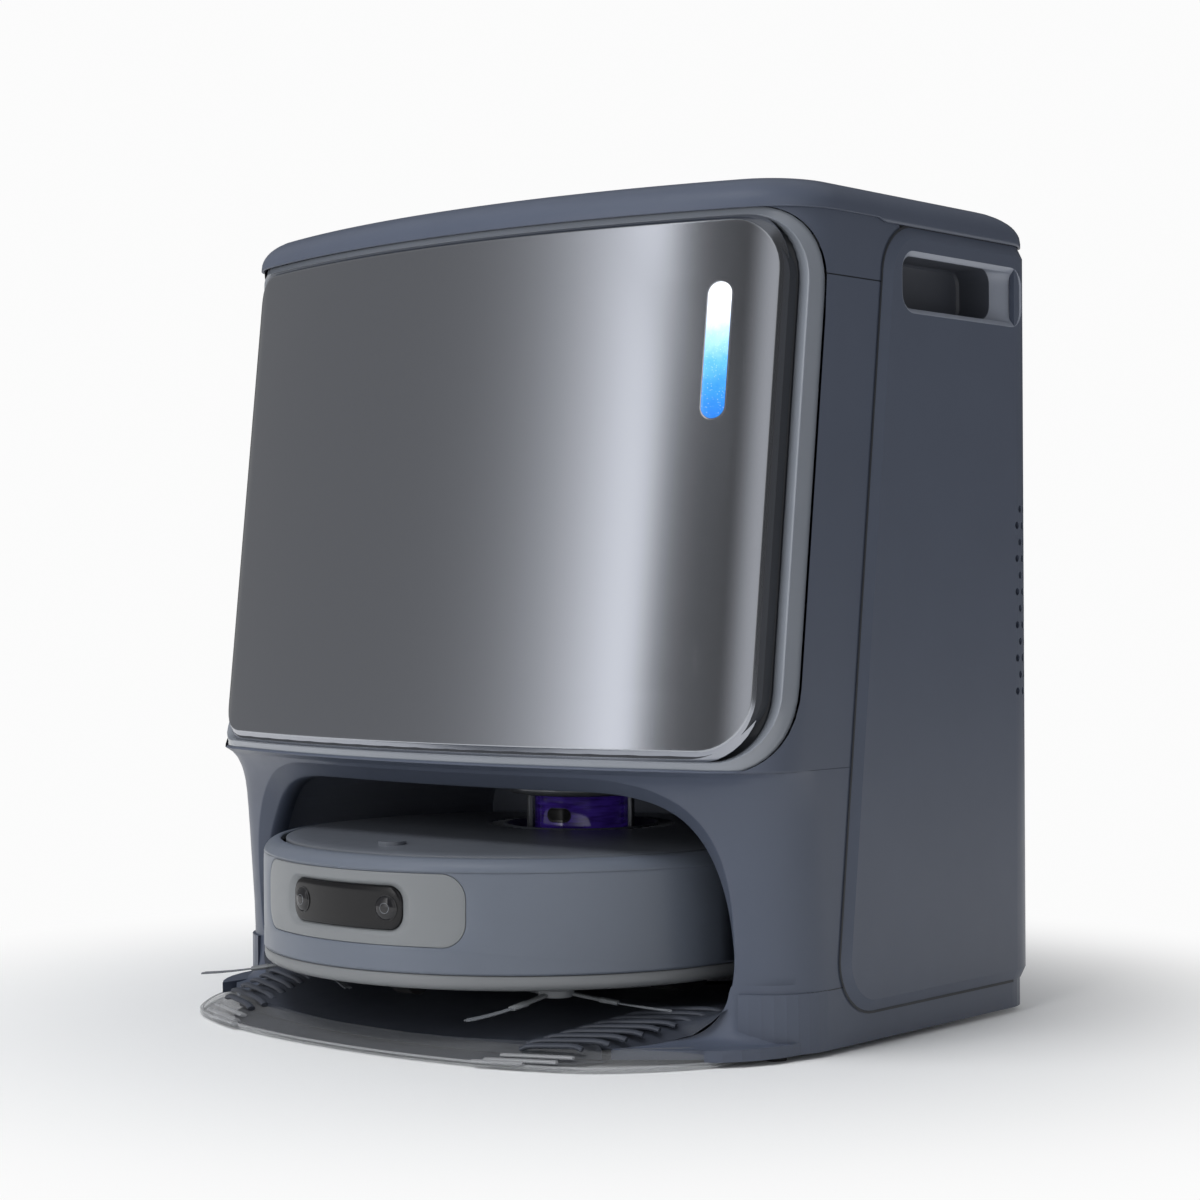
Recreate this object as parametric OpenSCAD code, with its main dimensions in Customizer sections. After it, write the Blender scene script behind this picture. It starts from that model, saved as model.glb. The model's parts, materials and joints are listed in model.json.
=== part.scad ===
// All-in-one base station with a docked robot vacuum and mop.
// +Z is up, -Y is the front (the way the robot drives out), +X is the right side seen from behind the robot.
// The origin is on the floor, in the middle of the footprint.

/* [Station body] */
// Width of the moulded housing, without the proud side panels
body_w = 448; // [430:1:470]
// Depth of the whole object, from the ramp's tip to the rear face
depth = 380; // [370:1:400]
// Height of the crown of the roof above the floor
body_h = 485; // [480:1:490]
// Backward lean of the front, in degrees
lean = 6.7; // [5:0.1:8]
// Radius of the bowed front, seen from above
front_r = 620; // [560:5:700]
// Radius of the upright front corners
corner_r = 44.5; // [38:0.5:50]
// Wall thickness of the mouldings
wall = 3; // [2:0.1:3.5]
// How far the rear wrap stands proud of the housing
wrap_proud = 3.5; // [2:0.1:4]

/* [Bay] */
// Inner width of the robot's bay
bay_w = 382; // [376:1:396]
// Height of the bay's ceiling above the floor
bay_h = 150; // [146:1:152]
// Radius of the bay's upper corners
bay_r = 50; // [40:1:60]
// Height of the tray floor that the robot stands on
tray_z = 23; // [22:0.5:23.5]

/* [Front door] */
// Width of the steel door, seen from the front
door_w = 424; // [400:1:430]
// Height of the door's lower edge
door_z0 = 167; // [166:1:170]
// Height of the door's upper edge
door_z1 = 460; // [455:1:460]

/* [Robot] */
// Diameter of the robot
robot_d = 322; // [316:1:324]
// Distance of the robot's centre in front of the origin
robot_y = 28; // [26:1:29]
// Height of the underside of the robot's chassis
robot_z = 37.5; // [36:0.5:39]
// Height of the robot's top rim
robot_top = 109.5; // [106:0.5:111]
// Diameter of the laser turret
turret_d = 67; // [60:1:72]

/* [Hidden] */
$fn = 96;
half_w = body_w / 2;
rear_y = depth / 2;
// Apex of the leaning front at floor level, and how fast it moves back per millimetre of height
apex_y = -147;
drift = tan(lean);
// Apex of the upright lower front
jamb_y = -107;
wrap_x = half_w + wrap_proud;
rr = robot_d / 2;
ry = -robot_y;
bay_rear = ry + rr + 8;
// Front edge of the tray's tongue, and where its slope reaches the tray's full height
tongue_y = -160.5;
tongue_z = 9;
slope_end = -62;
// Heights of the joints between the mouldings
base_top = 36;
lid_seam = 429;
wrap_top = 463;
wrap_bottom = 19.5;
// Handle pockets in the side panels
pocket_y0 = 38;
pocket_y1 = 164;
pocket_z0 = 414;
pocket_z1 = 448;
pocket_deep = 27;
// Lid hinge, just inside the rear edge
hinge_y = rear_y - 6;
hinge_z = wrap_top + 4;
hinge_x = 150;
// Outer half width of the door frame; the lid's skirts pass outside it
frame_x = 221;
// Indicator window on the right-hand corner of the door
lamp_x = 181.7;
lamp_w = 14.5;
lamp_z0 = 349;
lamp_z1 = 425;
// Mop discs
mop_x = 62;
mop_y = ry + 80;
mop_r = 57;
// Drive wheels
wheel_x = 112;
wheel_r = 35.5;
wheel_z = 60;
wheel_w = 22;
arm_y = ry - 46;
arm_z = 68;
// Laser turret: its centre, the radius of its cap, and the bottom of the pit around it
turret_y = ry + 46.5;
cap_r = 45;
pit_z = 107.5;
// Main brush: its axis, and its radius over the flaps
brush_y = ry - 52;
brush_z = 46;
brush_r = 17;
// Camera lenses in the bumper
lens_x = 34;
lens_z = 81.4;
// Side brushes
side_x = 100;
side_y = ry - 90;
// Caster
caster_y = ry - 112;
// Angle by which each end of the bumper stops short of the rear shell, so that it can be pressed in
bumper_gap = 1.1;
// Power button
button_y = ry - 118;
button_r = 8;
// Charging contacts: half their spacing, and their height
contact_x = 28;
contact_z = 62;
// Axis of the drying fan
fan_x = 120;
fan_z = 92;
// Middle of the mains inlet
inlet_x = -160;
inlet_z = 65;
// Depth of the wash basins below the tray's floor
basin_deep = 8;
// Where the dust duct leaves the bay and climbs to the bag
duct_x = -48;
duct_y = 164;
duct_z = 176.5;

// ---- outlines ----

// Points of an arc about c, from angle a0 to a1, in n steps
function arc(c, r, a0, a1, n) = [for (i = [0:n]) let (a = a0 + (a1 - a0) * i / n) c + r * [cos(a), sin(a)]];

// Footprint of the housing: bowed front, round corners, straight sides; d is how far it lies inside
module footprint(apex, d = 0, back = rear_y, rear_r = 30, w = half_w, fr = front_r, cr = corner_r) {
    swing = asin((w - cr) / (fr - cr));
    mid = apex + fr;
    cy = mid - (fr - cr) * cos(swing);
    right = concat(
        arc([0, mid], fr - d, -90, -90 + swing, 8),
        arc([w - cr, cy], cr - d, -90 + swing, 0, 8),
        arc([w - rear_r, back - rear_r], rear_r - d, 0, 90, 8));
    left = [for (i = [len(right) - 1:-1:0]) [-right[i][0], right[i][1]]];
    polygon(concat(right, left));
}

// The leaning upper body, offset inwards by d, between two heights
module leaning_body(z0, z1, d = 0, back = rear_y - wall) {
    intersection() {
        rotate([-lean, 0, 0]) translate([0, 0, -60]) linear_extrude(700) footprint(apex_y, d, 400, 30);
        translate([-300, -300, z0]) cube([600, 300 + back, z1 - z0]);
    }
}

// Rounded rectangle between two corners
module round_rect(x0, y0, x1, y1, r) {
    square_w = x1 - x0 - 2 * r;
    translate([x0 + r, y0]) square([square_w, y1 - y0]);
    translate([x0, y0 + r]) square([x1 - x0, y1 - y0 - 2 * r]);
    for (x = [x0 + r, x1 - r], y = [y0 + r, y1 - r]) translate([x, y]) circle(r);
}

// Extrudes an outline drawn in X and Z along Y
module along_y(y0, y1) {
    translate([0, y1, 0]) rotate([90, 0, 0]) linear_extrude(y1 - y0) children();
}

// Extrudes an outline drawn in Y and Z along X
module along_x(x0, x1) {
    translate([x0, 0, 0]) rotate([90, 0, 90]) linear_extrude(x1 - x0) children();
}

// Arch of the bay, grown by d: round upper corners and smaller lower ones
module bay_outline(d = 0, floor_z = tray_z) {
    r = bay_r + d;
    x = bay_w / 2 + d;
    z = bay_h + d;
    polygon(concat(
        [[x, floor_z]],
        arc([x - r, z - r], r, 0, 90, 10),
        arc([-x + r, z - r], r, 90, 180, 10),
        [[-x, floor_z]]));
}

// Front edge of the rear wrap on the side panel, leaning like the front
module wrap_side(d = 0) {
    y0 = -26 + d;
    top_y = y0 + (wrap_top - wrap_bottom) * drift;
    z0 = wrap_bottom + d;
    z1 = wrap_top - d;
    r = 30 - d;
    polygon(concat(
        arc([y0 + r + 3.5, z0 + r], r, 180 + lean, 270, 6),
        [[300, z0], [300, z1]],
        arc([top_y + r - 3.5, z1 - r], r, 90, 180 + lean, 6)));
}

// ---- station: base ----

module base_plinth() color("dimgray") {
    difference() {
        union() {
            translate([0, 0, 3]) linear_extrude(base_top - 3) footprint(jamb_y, 0, rear_y - wall - 0.5);
            // low flare on both sides of the tray's tongue
            translate([0, 0, 3]) linear_extrude(6.5) footprint(-155, 0, 100, 2, half_w - 4, 430, 75);
        }
        translate([0, 0, 6]) linear_extrude(60) footprint(jamb_y, 4, rear_y - wall);
        along_y(-300, bay_rear + 4) translate([-bay_w / 2 - 3.3, 2]) square([bay_w + 6.6, 60]);
        translate([0, 0, 2]) linear_extrude(5) round_rect(-60, 150, 60, 168, 6);
        screw_places() cylinder(h = 10, r = 1.9);
    }
}

// Places of the screws that hold the base to the housing
module screw_places() {
    for (x = [-200, -70, 70, 200]) translate([x, 173, 1.2]) children();
}

module base_feet() color("black") {
    for (s = [-1, 1]) {
        translate([s * 208, -60, 0]) cylinder(h = 3, r = 6);
        translate([s * 208, 150, 0]) cylinder(h = 3, r = 6);
        translate([s * 120, 165, 0]) cylinder(h = 3, r = 6);
    }
}

// Footprint of the removable tray, with its bowed front tongue
module tray_plan(d = 0) {
    footprint(tongue_y, d, bay_rear - 0.4, 12, bay_w / 2 + 2.6, 430, 75);
}

module wash_tray() color("darkslategray") {
    difference() {
        union() {
            intersection() {
                translate([0, 0, 3]) linear_extrude(tray_z - 3) tray_plan();
                // floor of the tray slopes down towards the ramp
                along_x(-300, 300)
                    polygon([[-200, 3], [tongue_y, tongue_z], [slope_end, tray_z], [300, tray_z], [300, 3]]);
            }
            grip_ribs();
            for (s = [-1, 1]) translate([s * (bay_w / 2 + 1.3) - 1.3, -92, 3]) cube([2.6, 228, tray_z + 0.5]);
        }
        // wash basins under the mop discs
        for (s = [-1, 1]) translate([s * mop_x, mop_y, tray_z - basin_deep]) cylinder(h = 20, r = mop_r + 2);
        translate([-mop_x, mop_y - 30, tray_z - basin_deep]) cube([2 * mop_x, 60, 20]);
        // hollow underside
        translate([0, 0, -1]) linear_extrude(7) tray_plan(6);
    }
    wash_studs();
}

// Anti-slip ribs up the slope ahead of each wheel
module grip_ribs() {
    fall = (tray_z - tongue_z) / (slope_end - tongue_y);
    for (s = [-1, 1], i = [0:7]) {
        y = slope_end - 8 - 10.5 * i;
        translate([s * (150 - 2.8 * i), y, tray_z - fall * (slope_end - y) - 0.4])
            rotate([atan(fall), 0, s * 19]) cube([50, 5, 3], center = true);
    }
}

// Scrubbing studs inside the basins
module wash_studs() {
    for (s = [-1, 1], a = [0:45:315]) {
        translate([s * mop_x + 34 * cos(a), mop_y + 34 * sin(a), tray_z - basin_deep - 0.5])
            cylinder(h = 5, r = 3);
    }
}

module ramp_apron() color("lightgray", 0.5) {
    difference() {
        intersection() {
            linear_extrude(9) footprint(-depth / 2, 0, 5, 2, 219, 450, 84);
            // wedge: thin at the front, thick where it meets the tray
            along_x(-300, 300) polygon([[-200, 0], [-200, 3.5], [-150, 8.5], [20, 8.5], [20, 0]]);
        }
        translate([0, 0, -1]) linear_extrude(20) footprint(-161, 0, 120, 12, bay_w / 2 + 3.2, 430, 75);
        translate([0, 0, 2.7]) linear_extrude(20) footprint(-155.3, 0, 120, 2, half_w - 3.7, 430, 75);
        translate([0, 0, 2.7]) linear_extrude(20) footprint(jamb_y - 0.3, 0, 120, 12, half_w + 0.3);
        for (s = [-1, 1]) translate([s * 208, -60, -1]) cylinder(h = 10, r = 7);
    }
    for (s = [-1, 1], i = [0:1]) {
        translate([s * (119 - 6 * i), -163.5 - 7 * i, 7.2 - 0.9 * i])
            rotate([7, 0, s * 19]) cube([46 - 12 * i, 4, 2], center = true);
    }
}

// ---- station: housing ----

module front_housing() color("slategray") {
    difference() {
        union() {
            // leaning upper shell
            difference() {
                leaning_body(155, lid_seam, 0, 35);
                leaning_body(150, lid_seam + 5, wall, 400);
                frame_seat(-1, 15.5);
            }
            // upright lower shell
            difference() {
                translate([0, 0, base_top]) linear_extrude(155 - base_top) footprint(jamb_y, 0, 35, 2);
                translate([0, 0, base_top - 1]) linear_extrude(200) footprint(jamb_y, wall, 400, 2);
            }
            // ledge that joins the two, under the door
            difference() {
                leaning_body(155, 158.5, 0.5, -40);
                frame_seat(-1, 12.6);
            }
            // recessed wall behind the door frame
            difference() {
                leaning_body(156, 461, 12.6, -24);
                leaning_body(150, 470, 15.6, 400);
                along_y(-300, 100) round_rect(-196, 180, 196, 448, 20);
            }
        }
        along_y(-300, 100) bay_outline(3.2, 0);
    }
}

// Space that the door frame takes out of the leaning front, from depth d0 to d1
module frame_seat(d0, d1, gap = 0.5) {
    intersection() {
        along_y(-300, 100) round_rect(-frame_x - gap, 156.4 - gap, frame_x + gap, 465.6 + gap, 46);
        difference() {
            leaning_body(150, 480, d0, 400);
            leaning_body(140, 490, d1, 400);
        }
    }
}

module door_frame() color("lightslategray") {
    intersection() {
        difference() {
            leaning_body(150, 480, 0, 400);
            leaning_body(140, 490, 12, 400);
        }
        difference() {
            along_y(-300, 0) round_rect(-frame_x, 156.4, frame_x, 465.6, 46);
            along_y(-310, 10) round_rect(-door_w / 2 - 4.5, 162.5, door_w / 2 + 4.5, 462, 38);
        }
    }
}

module bay_liner() color([0.13, 0.14, 0.16]) {
    difference() {
        along_y(-72, bay_rear + 3) bay_outline(3, tray_z + 4);
        along_y(-100, bay_rear) bay_outline(0, 0);
        // mouth of the dust duct and outlet of the drying fan
        translate([duct_x, bay_rear + 10, 84]) rotate([90, 0, 0]) cylinder(h = 20, r = 13);
        translate([fan_x, bay_rear + 10, fan_z]) rotate([90, 0, 0]) cylinder(h = 20, r = 12);
        for (s = [-1, 1])
            translate([s * contact_x, bay_rear + 10, contact_z]) rotate([90, 0, 0]) cylinder(h = 20, r = 5.5);
    }
}

// U-shaped panel around the sides and the back
module rear_wrap() color("slategray") {
    difference() {
        intersection() {
            translate([0, 0, wrap_bottom]) linear_extrude(wrap_top - wrap_bottom)
                difference() {
                    footprint(-160, 0, rear_y, 30 + wrap_proud, wrap_x);
                    footprint(-400, 0, rear_y - wall - 0.5, 30, half_w);
                }
            along_x(-300, 300) wrap_side();
        }
        along_x(-300, 300) round_rect(pocket_y0, pocket_z0, pocket_y1, pocket_z1, 11);
        vents();
        // relief that the lid's rear edge swings through
        translate([-300, 180, wrap_top - 2.5]) cube([600, 20, 10]);
        // cut-out for the mains inlet
        along_y(rear_y - 20, rear_y + 10) inlet_face(15, 13, 3);
    }
}

// Rounded rectangle about the middle of the mains inlet, from its half sizes
module inlet_face(half_x, half_z, r) {
    round_rect(inlet_x - half_x, inlet_z - half_z, inlet_x + half_x, inlet_z + half_z, r);
}

// Staggered exhaust holes round both rear corners
module vents() {
    for (s = [-1, 1], row = [0:11], k = [0:3]) {
        a = 8 + 16 * k + (row % 2) * 8;
        translate([s * (wrap_x - 33.5), rear_y - 33.5, 194 + row * 10])
            rotate([0, 90, s > 0 ? a : 180 - a]) translate([0, 0, 20]) cylinder(h = 30, r = 2.2, $fn = 16);
    }
}

// Hand-hold cup, open to the side; s is the side
module handle_cup(s) {
    mirror([s < 0 ? 1 : 0, 0, 0]) difference() {
        along_x(wrap_x - pocket_deep - 2.5, wrap_x - 0.4)
            round_rect(pocket_y0 + 0.1, pocket_z0 + 0.1, pocket_y1 - 0.1, pocket_z1 - 0.1, 10.9);
        along_x(wrap_x - pocket_deep, wrap_x + 5)
            round_rect(pocket_y0 + 2.6, pocket_z0 + 2.6, pocket_y1 - 2.6, pocket_z1 - 2.6, 8.4);
    }
}

module handle_cup_left() color("darkslategray") handle_cup(-1);

module handle_cup_right() color("darkslategray") handle_cup(1);

module exhaust_filter() color("black") {
    for (s = [-1, 1]) translate([s * 154 - 34, rear_y - 11, 190]) cube([68, 6, 124]);
}

// Shelf over the bay and the walls that hold the tanks
module inner_frame() color("gray") {
    difference() {
        union() {
            translate([-206, -55, 158.7]) cube([412, 237, 3.3]);
            translate([-218, 30, 162]) cube([436, 3, 258]);
            translate([-1.5, 33, 162]) cube([3, 149, 240]);
            translate([-1.5, -60, 162]) cube([3, 90, 240]);
        }
        // ducts rise through the shelf and the tank wall
        translate([duct_x, duct_y, 150]) cylinder(h = 20, r = 13.2);
        translate([duct_x, 60, duct_z]) rotate([90, 0, 0]) cylinder(h = 60, r = 13.2);
    }
}

// ---- station: tanks, bag and machinery ----

// Tank with a wall of w, between two corners
module tank(x0, y0, z0, x1, y1, z1, r, w) {
    difference() {
        translate([0, 0, z0]) linear_extrude(z1 - z0) round_rect(x0, y0, x1, y1, r);
        translate([0, 0, z0 + w]) linear_extrude(z1 - z0 - 2 * w)
            round_rect(x0 + w, y0 + w, x1 - w, y1 - w, r - w);
    }
}

// Carrying bail over a tank, from x0 to x1
module bail(x0, x1, z) {
    along_y(104, 116) difference() {
        round_rect(x0, z, x1, z + 22, 8);
        round_rect(x0 + 7, z - 20, x1 - 7, z + 15, 5);
    }
}

module clean_water_tank() color("lightsteelblue", 0.6) {
    tank(6, 38, 196, 192, 178, 430, 14, 2.5);
    // filler cap
    translate([60, 150, 430]) cylinder(h = 7, r = 15);
}

module tank_handles() color("lightgray") {
    bail(20, 178, 430);
    bail(-178, -20, 430);
}

module waste_water_tank() color("dimgray", 0.8) {
    tank(-192, 38, 196, -6, 178, 430, 14, 2.5);
    translate([-60, 150, 430]) cylinder(h = 7, r = 15);
}

module detergent_bottle() color("white") {
    tank(50, -58, 162, 172, 20, 372, 16, 2);
    translate([111, -20, 372]) cylinder(h = 16, r = 16);
}

module dust_bag() color("antiquewhite") {
    translate([0, 0, 262]) linear_extrude(140) round_rect(-188, -60, -16, 16, 22);
}

module bag_holder() color("whitesmoke") {
    difference() {
        translate([0, 0, 254]) linear_extrude(8) round_rect(-192, -64, -12, 20, 8);
        translate([duct_x, -20, 250]) cylinder(h = 20, r = 11);
    }
}

// Duct that carries the dust from the back of the bay up to the bag, of radius r
module duct_run(r, over) {
    translate([duct_x, bay_rear + 1 - over, 84]) rotate([-90, 0, 0])
        cylinder(h = duct_y - bay_rear - 1 + over, r = r, $fn = 48);
    translate([duct_x, duct_y, 84]) cylinder(h = duct_z - 84, r = r, $fn = 48);
    translate([duct_x, -20, duct_z]) rotate([-90, 0, 0]) cylinder(h = duct_y + 20, r = r, $fn = 48);
    translate([duct_x, -20, duct_z]) cylinder(h = 254 + over - duct_z, r = r, $fn = 48);
    for (p = [[duct_y, 84], [duct_y, duct_z], [-20, duct_z]])
        translate([duct_x, p[0], p[1]]) sphere(r, $fn = 48);
}

module dust_duct() color("dimgray") {
    difference() {
        duct_run(12.8, 0);
        duct_run(10.8, 2);
    }
}

module suction_motor() color("black") {
    translate([-140, -18, 162]) cylinder(h = 40, r = 42);
    translate([-140, -18, 202]) cylinder(h = 34, r = 30);
    translate([-140, -18, 236]) cylinder(h = 8, r = 12);
}

module water_pump() color("black") {
    translate([30, 152, 100]) cube([34, 28, 26]);
    translate([47, 166, 126]) cylinder(h = 24, r = 10);
    translate([47, 166, 150]) cylinder(h = 8, r = 3);
}

module drying_fan_housing() color("dimgray") {
    translate([fan_x, 0, fan_z]) rotate([-90, 0, 0]) difference() {
        translate([0, 0, bay_rear + 3]) cylinder(h = 32, r = 36);
        translate([0, 0, bay_rear + 5]) cylinder(h = 40, r = 33);
        translate([0, 0, bay_rear]) cylinder(h = 20, r = 12);
    }
    // spider that holds the motor
    translate([fan_x, bay_rear + 32, fan_z]) {
        cube([68, 3, 6], center = true);
        cube([6, 3, 68], center = true);
        rotate([90, 0, 0]) cylinder(h = 12, r = 3);
    }
}

module drying_fan_rotor() color("gray") {
    translate([fan_x, bay_rear + 7, fan_z]) rotate([-90, 0, 0]) difference() {
        union() {
            cylinder(h = 22, r = 9);
            cylinder(h = 2, r = 31);
            for (i = [0:10]) rotate([0, 0, i * 360 / 11]) translate([8, -1, 0]) cube([21, 2, 20]);
        }
        translate([0, 0, 10]) cylinder(h = 20, r = 3.06);
    }
}

module power_supply() color("silver") {
    translate([-140, 153, 40]) cube([76, 30, 60]);
}

module power_inlet() color("black") {
    difference() {
        along_y(rear_y - 22, rear_y - 0.6) inlet_face(14.8, 12.8, 3);
        along_y(rear_y - 18, rear_y + 5) inlet_face(11, 9, 4);
    }
    for (s = [-1, 1])
        along_y(rear_y - 19, rear_y - 6) translate([inlet_x + s * 4, inlet_z]) circle(1.4, $fn = 24);
}

module charging_contacts() color("gold") {
    for (s = [-1, 1]) translate([s * contact_x, bay_rear - 9.2, contact_z]) rotate([-90, 0, 0]) {
        cylinder(h = 15.2, r = 4.8);
        translate([0, 0, 12.4]) cylinder(h = 3, r = 8);
    }
}

module indicator_board() color("darkgreen") {
    translate([lamp_x - 6, -42, 352]) cube([4, 18, 70]);
}

module door_magnets() color("silver") {
    for (s = [-1, 1], z = [200, 400])
        translate([s * 199.5, -59 + 0.1 * (z - 200), z]) cube([5, 9, 20], center = true);
}

// Ears on the back wall with the pins that the lid turns on
module lid_hinges() color("silver") {
    for (s = [-1, 1]) translate([s * hinge_x, hinge_y, hinge_z]) {
        rotate([0, 90, 0]) cylinder(h = 24, r = 2.5, center = true, $fn = 48);
        for (e = [-1, 1]) translate([e * 10 - 2, -5, -26]) cube([4, 6, 30]);
        translate([-12, -5, -30]) cube([24, 7.5, 8]);
    }
}

module housing_screws() color("silver") {
    screw_places() {
        cylinder(h = 1.8, r = 4);
        cylinder(h = 14, r = 1.8);
    }
}

// ---- station: lid ----

// Crowned roof solid, made d smaller on every side
module roof(d) {
    // height above the wrap and setback of each layer of the crown
    crown = [[0, 0], [5, 1], [10, 4], [14, 9], [17, 17], [19.5, 32], [21.2, 60], [22, 95]];
    rise = (body_h - wrap_top) / 22;
    hull() for (c = crown) {
        back = c[1] + d;
        translate([0, 0, wrap_top + c[0] * rise - d - 0.01]) linear_extrude(0.01)
            footprint(apex_y + (wrap_top + 4) * drift + back, 0, rear_y - 1.2 - back, 30,
                half_w - back, front_r, max(20, corner_r - back / 2));
    }
}

// Outline of the inset in the roof
module inset_plan(d = 0) {
    footprint(-40 + d, 0, 150 - d, 24, 170 - d, front_r, 30);
}

module top_lid() color("slategray") {
    difference() {
        union() {
            difference() {
                roof(0);
                roof(3);
                translate([0, 0, wrap_top - 8]) linear_extrude(8.4) square([500, 500], center = true);
            }
            // side skirts between the door frame and the wrap
            difference() {
                leaning_body(lid_seam + 0.6, wrap_top + 2, 0, 100);
                leaning_body(lid_seam - 1, wrap_top + 10, wall, 400);
                translate([-180, -300, 400]) cube([360, 500, 100]);
            }
        }
        // clear of the wrap, the door frame and the hinge ears
        along_x(-300, 300) translate([0.8, 0.8]) wrap_side(-0.8);
        frame_seat(-5, 30, 0.8);
        for (s = [-1, 1]) translate([s * hinge_x - 14, hinge_y - 9, wrap_top - 5]) cube([28, 20, 14]);
        // seat of the inset
        translate([0, 0, wrap_top]) linear_extrude(40) inset_plan(-0.4);
    }
    // knuckles, joined to the roof
    for (s = [-1, 1]) translate([s * hinge_x, hinge_y, hinge_z]) difference() {
        union() {
            rotate([0, 90, 0]) cylinder(h = 14, r = 3.6, center = true);
            translate([-7, -3.6, 0]) cube([14, 6, 8]);
            translate([-7, -3.6, 4.5]) cube([14, 8, 3.5]);
        }
        rotate([0, 90, 0]) cylinder(h = 40, r = 2.56, center = true, $fn = 48);
    }
}

module lid_inset() color("darkslategray") {
    intersection() {
        difference() {
            roof(0);
            roof(3);
        }
        translate([0, 0, wrap_top + 4]) linear_extrude(40) inset_plan();
    }
}

// ---- station: door ----

module front_door() color("gray") {
    intersection() {
        difference() {
            leaning_body(100, 500, 1.4, 400);
            leaning_body(90, 510, 5, 400);
        }
        along_y(-300, -30) round_rect(-door_w / 2 - 1.5, door_z0 - 2.4, door_w / 2 + 1.5, door_z1 + 0.6, 34);
    }
}

module door_skin() color("lightgray") {
    intersection() {
        difference() {
            leaning_body(100, 500, 0, 400);
            leaning_body(90, 510, 1.4, 400);
        }
        difference() {
            along_y(-300, -30) round_rect(-door_w / 2, door_z0, door_w / 2, door_z1, 33);
            along_y(-300, 0)
                round_rect(lamp_x - lamp_w / 2, lamp_z0, lamp_x + lamp_w / 2, lamp_z1, lamp_w / 2 - 0.1);
        }
    }
}

module indicator_window() color("deepskyblue", 0.8) {
    intersection() {
        difference() {
            leaning_body(100, 500, -0.4, 400);
            leaning_body(90, 510, 1.4, 400);
        }
        along_y(-300, 0)
            round_rect(lamp_x - lamp_w / 2, lamp_z0, lamp_x + lamp_w / 2, lamp_z1, lamp_w / 2 - 0.1);
    }
}

// ---- robot ----

// A ring sector of radius r0 to r1 between heights, on the robot's axis, from angle a0 to a1
module sector(r0, r1, z0, z1, a0, a1) {
    translate([0, ry, z0]) rotate([0, 0, a0])
        rotate_extrude(angle = a1 - a0, $fn = 180) translate([r0, 0]) square([r1 - r0, z1 - z0]);
}

module robot_chassis() color("dimgray") {
    difference() {
        union() {
            translate([0, ry, robot_z]) cylinder(h = 2.5, r1 = rr - 5, r2 = rr - 2, $fn = 180);
            translate([0, ry, robot_z + 2.5]) cylinder(h = 6, r = rr - 2, $fn = 180);
            // inner drum that carries the covers
            sector(rr - 13, rr - 10, robot_z + 8, robot_top - 8, 0, 360);
            // bosses for the wheel arms
            for (x = [-131, -93, 93, 131]) translate([x - 3, arm_y - 8, robot_z + 8]) cube([6, 16, 38]);
        }
        // wheel wells
        for (s = [-1, 1]) translate([s * wheel_x - 15, ry - 40, robot_z - 5]) cube([30, 80, 20]);
        for (s = [-1, 1]) translate([s * wheel_x - 15.5, arm_y - 9, robot_z - 5]) cube([31, 40, 20]);
        // brush well
        translate([-82, brush_y - 24, robot_z - 5]) cube([164, 48, 20]);
        // caster and side brush holes
        translate([0, caster_y, robot_z - 5]) cylinder(h = 20, r = 21);
        for (s = [-1, 1]) translate([s * side_x, side_y, robot_z - 5]) cylinder(h = 20, r = 4);
        for (s = [-1, 1]) translate([s * mop_x, mop_y, robot_z - 5]) cylinder(h = 20, r = 5);
        translate([0, arm_y, arm_z]) rotate([0, 90, 0]) cylinder(h = 280, r = 3.06, center = true);
    }
    // roof of the caster well and its pivot pin
    translate([0, caster_y, 62]) cylinder(h = 3, r = 24);
    translate([0, caster_y, 56]) cylinder(h = 7, r = 3);
    for (a = [0, 180])
        translate([0, caster_y, 46]) rotate([0, 0, a]) translate([21.5, -5, 0]) cube([3, 10, 17]);
}

module robot_rear_shell() color("slategray") {
    sector(rr - 3, rr, robot_z + 8.5, robot_top - 1, 0, 180);
    sector(rr - 10, rr, robot_top - 2, robot_top, 0, 180);
    // charging pads that face the station's contacts
    for (s = [-1, 1])
        translate([s * contact_x, ry + rr - 6, contact_z]) rotate([-90, 0, 0]) cylinder(h = 3.6, r = 5);
}

module robot_top_cover() color("dimgray") {
    difference() {
        union() {
            translate([0, ry, robot_top - 7]) cylinder(h = 8.5, r = rr - 11, $fn = 180);
            translate([0, ry, robot_top + 1.5]) cylinder(h = 2, r1 = rr - 11, r2 = rr - 40, $fn = 180);
            translate([0, turret_y, robot_top - 7]) cylinder(h = 10.4, r = turret_d / 2 + 24);
        }
        translate([0, ry, robot_top - 20]) cylinder(h = 16, r = rr - 14, $fn = 180);
        // pit that the turret sinks into, and the hole for its head
        translate([0, turret_y, pit_z]) cylinder(h = 20, r = cap_r + 0.6);
        translate([0, turret_y, pit_z - 5]) cylinder(h = 20, r = turret_d / 2 - 2.4);
        translate([0, button_y, robot_top - 20]) cylinder(h = 40, r = button_r + 0.4);
    }
}

module robot_battery() color("black") {
    translate([-60, ry + 84, 50]) cube([120, 44, 40]);
}

module robot_dust_bin() color("gray", 0.8) {
    translate([-80, ry - 22, 50]) cube([124, 80, 44]);
}

module robot_fan() color("black") {
    translate([66, ry + 18, 50]) cylinder(h = 38, r = 20);
}

// Cage that holds the main brush in its well
module brush_cover() color("darkslategray") {
    difference() {
        translate([-81, brush_y - 23, robot_z - 3]) cube([162, 46, 35]);
        translate([-77, brush_y - 20, robot_z - 10]) cube([154, 40, 39]);
        translate([-100, brush_y, brush_z]) rotate([0, 90, 0]) cylinder(h = 200, r = 3.06);
    }
}

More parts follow.
